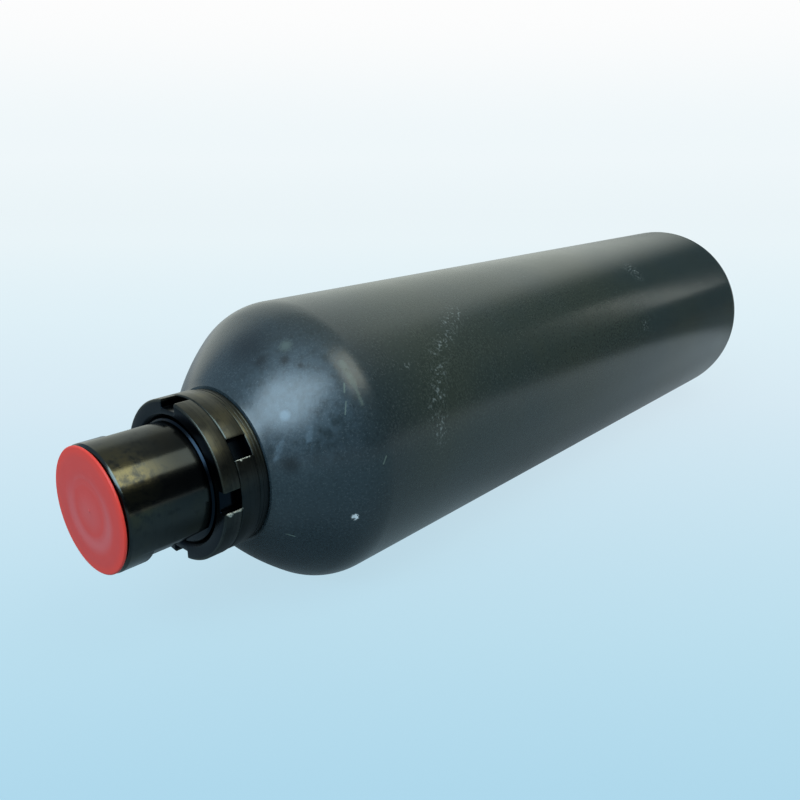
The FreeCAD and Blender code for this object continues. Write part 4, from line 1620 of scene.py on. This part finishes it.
@dataclass
class Studio:
    """The pale floor, the pale room round it, the lamps and the camera."""

    centre: Vector
    floor_height: float
    floor_side: float = 60.0
    side_share: float = 0.35
    floor_colours: tuple[tuple[float, Colour], ...] = (
        (0.18, seen(171, 211, 230)), (0.24, seen(184, 218, 233)), (0.34, seen(202, 226, 238)),
        (0.41, seen(213, 231, 241)), (0.52, seen(222, 238, 245)), (0.67, seen(232, 243, 247)),
        (0.95, seen(239, 247, 250)),
    )
    black: Colour = (0.0, 0.0, 0.0)
    floor_glow: float = 0.75
    glow_from: Point = (0.5, 3.0)
    floor_shade: float = 0.4
    floor_bounce: float = 0.6
    bounce_from: Point = (0.3, 0.7)

    floor_mirror: float = 0.6
    mat_across: Vector = Vector((0.653, 0.757, 0.0))
    mat_edge: Point = (0.41, 0.47)
    mat_side: Point = (0.0, -0.1)
    mat_share: float = 0.9
    # Painted shadow of the vessel on the floor, as its gloss shows it, beside the dome and the tube.
    dome_side: Point = (0.13, 0.05)
    dome_start: Point = (0.02, 0.06)
    dome_end: Point = (0.13, 0.08)
    dome_shadow_share: float = 0.7
    tube_side: Point = (0.12, 0.07)
    tube_start: Point = (0.2, 0.3)
    tube_shadow_share: float = 0.3
    far_from: Point = (0.3, 0.8)
    far_gain: float = 0.35

    horizon_colour: Colour = seen(239, 247, 250)
    high_colour: Colour = seen(253, 253, 253)
    high_from: Point = (0.0, 0.17)
    back_colour: Colour = seen(244, 252, 244)
    back_lean: float = 45.0
    back_start: Point = (18.0, 40.0)
    back_end: Point = (106.0, 88.0)
    back_top: Point = (0.84, 0.70)
    side_colour: Colour = seen(160, 186, 208)
    side_end: Point = (172.0, 150.0)
    side_top: Point = (0.88, 0.75)
    wall_colour: Colour = seen(54, 64, 72)
    ceiling_colour: Colour = seen(178, 184, 178)
    ceiling_from: Point = (0.54, 0.76)

    lens: float = 34.658
    camera_place: Vector = Vector((-0.14176, -0.30308, 0.15021))
    camera_azimuth: float = 41.197
    camera_elevation: float = -18.005
    lamps: tuple[SoftBox, ...] = (
        SoftBox("overhead_box", azimuth=-88.0, elevation=59.0, distance=1.65, width=1.1, height=0.85,
                power=8.6, colour=(0.97, 1.0, 0.84)),
        SoftBox("window_box", azimuth=-166.0, elevation=34.5, distance=1.6, width=0.9, height=0.78,
                power=17.6, colour=(0.60, 0.83, 1.0)),
        SoftBox("door_box", azimuth=-19.3, elevation=18.0, distance=2.5, width=0.09, height=0.6,
                power=0.42, colour=(0.95, 1.0, 0.93)),
        SoftBox("plug_fill", azimuth=-172.0, elevation=4.0, distance=1.6, width=0.8, height=0.8,
                power=4.2, colour=(1.0, 0.97, 0.97), mirrored=False),
    )

    def build(self) -> None:
        """Sets up everything round the vessel."""
        self._floor()
        self._room()
        for lamp in self.lamps:
            lamp.hang(self.centre)
        self._camera()

    @staticmethod
    def _shown(recipe: Recipe, in_gloss: bool = True) -> Flow:
        """Gives 1 for what the camera and glass look at directly.

        Args:
            recipe: The node tree.
            in_gloss: Whether glossy surfaces look at it too.

        Returns:
            The mask.
        """
        rays = recipe.make("ShaderNodeLightPath", {}, {}, "Is Camera Ray")
        node = rays.socket.node
        seen_in = rays
        for name in ("Is Transmission Ray", "Is Glossy Ray")[:1 + in_gloss]:
            seen_in = seen_in.or_more(Flow(recipe, node.outputs[name]))
        return seen_in

    def _floor(self) -> None:
        """Lays the floor, which pales with distance and keeps the vessel's shadow."""
        clear_selection()
        bpy.ops.mesh.primitive_plane_add(
            size=self.floor_side, location=(self.centre[0], 0.0, self.floor_height))
        floor = bpy.context.object
        floor.name = "studio_floor"
        settle(floor)
        coat = Coat("studio_floor")
        foot = Vector((self.camera_place[0], self.camera_place[1], self.floor_height))
        offset = coat.vector("SUBTRACT", coat.place, foot)
        ahead = coat.vector("DOT_PRODUCT", offset, towards(self.camera_azimuth, 0.0), "Value")
        aside = coat.vector("DOT_PRODUCT", offset, towards(self.camera_azimuth + 90.0, 0.0), "Value")
        pair = coat.make("ShaderNodeCombineXYZ", {}, {0: ahead, 1: aside * self.side_share})
        away = coat.make("ShaderNodeVectorMath", {"operation": "LENGTH"}, {0: pair}, "Value")
        slope = away / (away + 1.0)
        colour = coat.make("ShaderNodeValToRGB", {"stops": self.floor_colours}, {"Fac": slope}, "Color")
        east, north, _ = coat.parts(coat.place)
        bounce = east.rising(*self.bounce_from) * (1.0 - self._shown(coat)) * self.floor_bounce
        shade_colour = coat.mixed(self.black, colour, bounce + self.floor_shade)
        shade = coat.make("ShaderNodeBsdfDiffuse", {}, {"Color": shade_colour})
        share = away.rising(*self.glow_from) * (1 - self.floor_glow) + self.floor_glow
        direct = self._shown(coat, False)
        mirrored = self._mirrored(coat, east, north)
        strength = direct * (2.0 - share - mirrored) + mirrored
        glow = coat.make("ShaderNodeEmission", {}, {"Color": colour, "Strength": strength})
        both = coat.make("ShaderNodeMixShader", {}, {0: self._shown(coat) * share, 1: shade, 2: glow})
        output = coat.tree.nodes["Material Output"]
        coat.tree.links.new(both.socket, output.inputs["Surface"])
        floor.data.materials.append(coat.material)

    def _mirrored(self, coat: Coat, east: Flow, north: Flow) -> Flow:
        """Gives how bright the floor is in the vessel's gloss: darker past the mat, darker beside the vessel
        as a painted shadow, and brighter towards the far end.

        Args:
            coat: The floor's material.
            east: The place along the vessel.
            north: The place across it.

        Returns:
            The brightness.
        """
        across = coat.vector("DOT_PRODUCT", coat.place, self.mat_across, "Value")
        beyond = across.rising(*self.mat_edge) * north.rising(*self.mat_side)
        beside = north.size()
        # Painted shadow beside the dome and the tube.
        dome = beside.rising(*self.dome_side) * east.rising(*self.dome_end) * east.rising(*self.dome_start)
        tube = beside.rising(*self.tube_side) * east.rising(*self.tube_start)
        near = 1.0 - dome * self.dome_shadow_share - tube * self.tube_shadow_share
        far = 1.0 + east.rising(*self.far_from) * self.far_gain
        return self.floor_mirror * (1.0 - beyond * self.mat_share) * near * far

    def _room(self) -> None:
        """Surrounds the scene with a pale room, which has darker walls on one side."""
        world = bpy.data.worlds.new("room")
        world.use_nodes = True
        bpy.context.scene.world = world
        recipe = Recipe(world.node_tree, "Generated")
        east, north, up = recipe.parts(recipe.place)
        turn = recipe.make("ShaderNodeMath", {"operation": "ARCTAN2"}, {0: north, 1: east}) * (180 / math.pi)
        sky = recipe.mixed(self.horizon_colour, self.high_colour, up.rising(*self.high_from))
        back = (turn + up * self.back_lean).rising(*self.back_start)
        back = back * turn.rising(*self.back_end) * up.rising(*self.back_top)
        side = 1.0 - turn.rising(*self.back_end)
        side = side * turn.rising(*self.side_end) * up.rising(*self.side_top)
        light = recipe.mixed(self.wall_colour, self.ceiling_colour, up.rising(*self.ceiling_from))
        light = recipe.mixed(light, self.back_colour, back)
        light = recipe.mixed(light, self.side_colour, side)
        lit = recipe.make("ShaderNodeBackground", {}, {"Color": light, "Strength": 1.0})
        shown = recipe.make("ShaderNodeBackground", {}, {"Color": sky, "Strength": 1.0})
        both = recipe.make("ShaderNodeMixShader", {}, {0: self._shown(recipe, False), 1: lit, 2: shown})
        output = world.node_tree.nodes["World Output"]
        world.node_tree.links.new(both.socket, output.inputs["Surface"])

    def _camera(self) -> None:
        """Sets the camera at the photograph's viewpoint."""
        data = bpy.data.cameras.new("camera")
        data.lens = self.lens
        camera = bpy.data.objects.new("camera", data)
        bpy.context.scene.collection.objects.link(camera)
        camera.location = self.camera_place
        camera.rotation_euler = (
            math.radians(90 + self.camera_elevation), 0.0, math.radians(self.camera_azimuth - 90))
        bpy.context.scene.camera = camera


def main() -> None:
    """Builds the dressed vessel and its studio."""
    logging.basicConfig(level=logging.INFO, format="%(name)s: %(message)s")
    bpy.context.scene.view_settings.view_transform = "Standard"
    catalogue = Catalogue(frame["record"], {finish.slot: finish.make() for finish in FINISHES})
    low, high = cad_bounds
    centre = Vector(((low[0] + high[0]) / 2, 0.0, 0.0))
    Studio(centre, low[2]).build()
    for assembly in (Shell(), FluidPort(), GasEnd(), *SPRINGS):
        assembly.build(catalogue)
    catalogue.dress_the_rest(frame["nodes"])


if __name__ == "__main__":
    main()
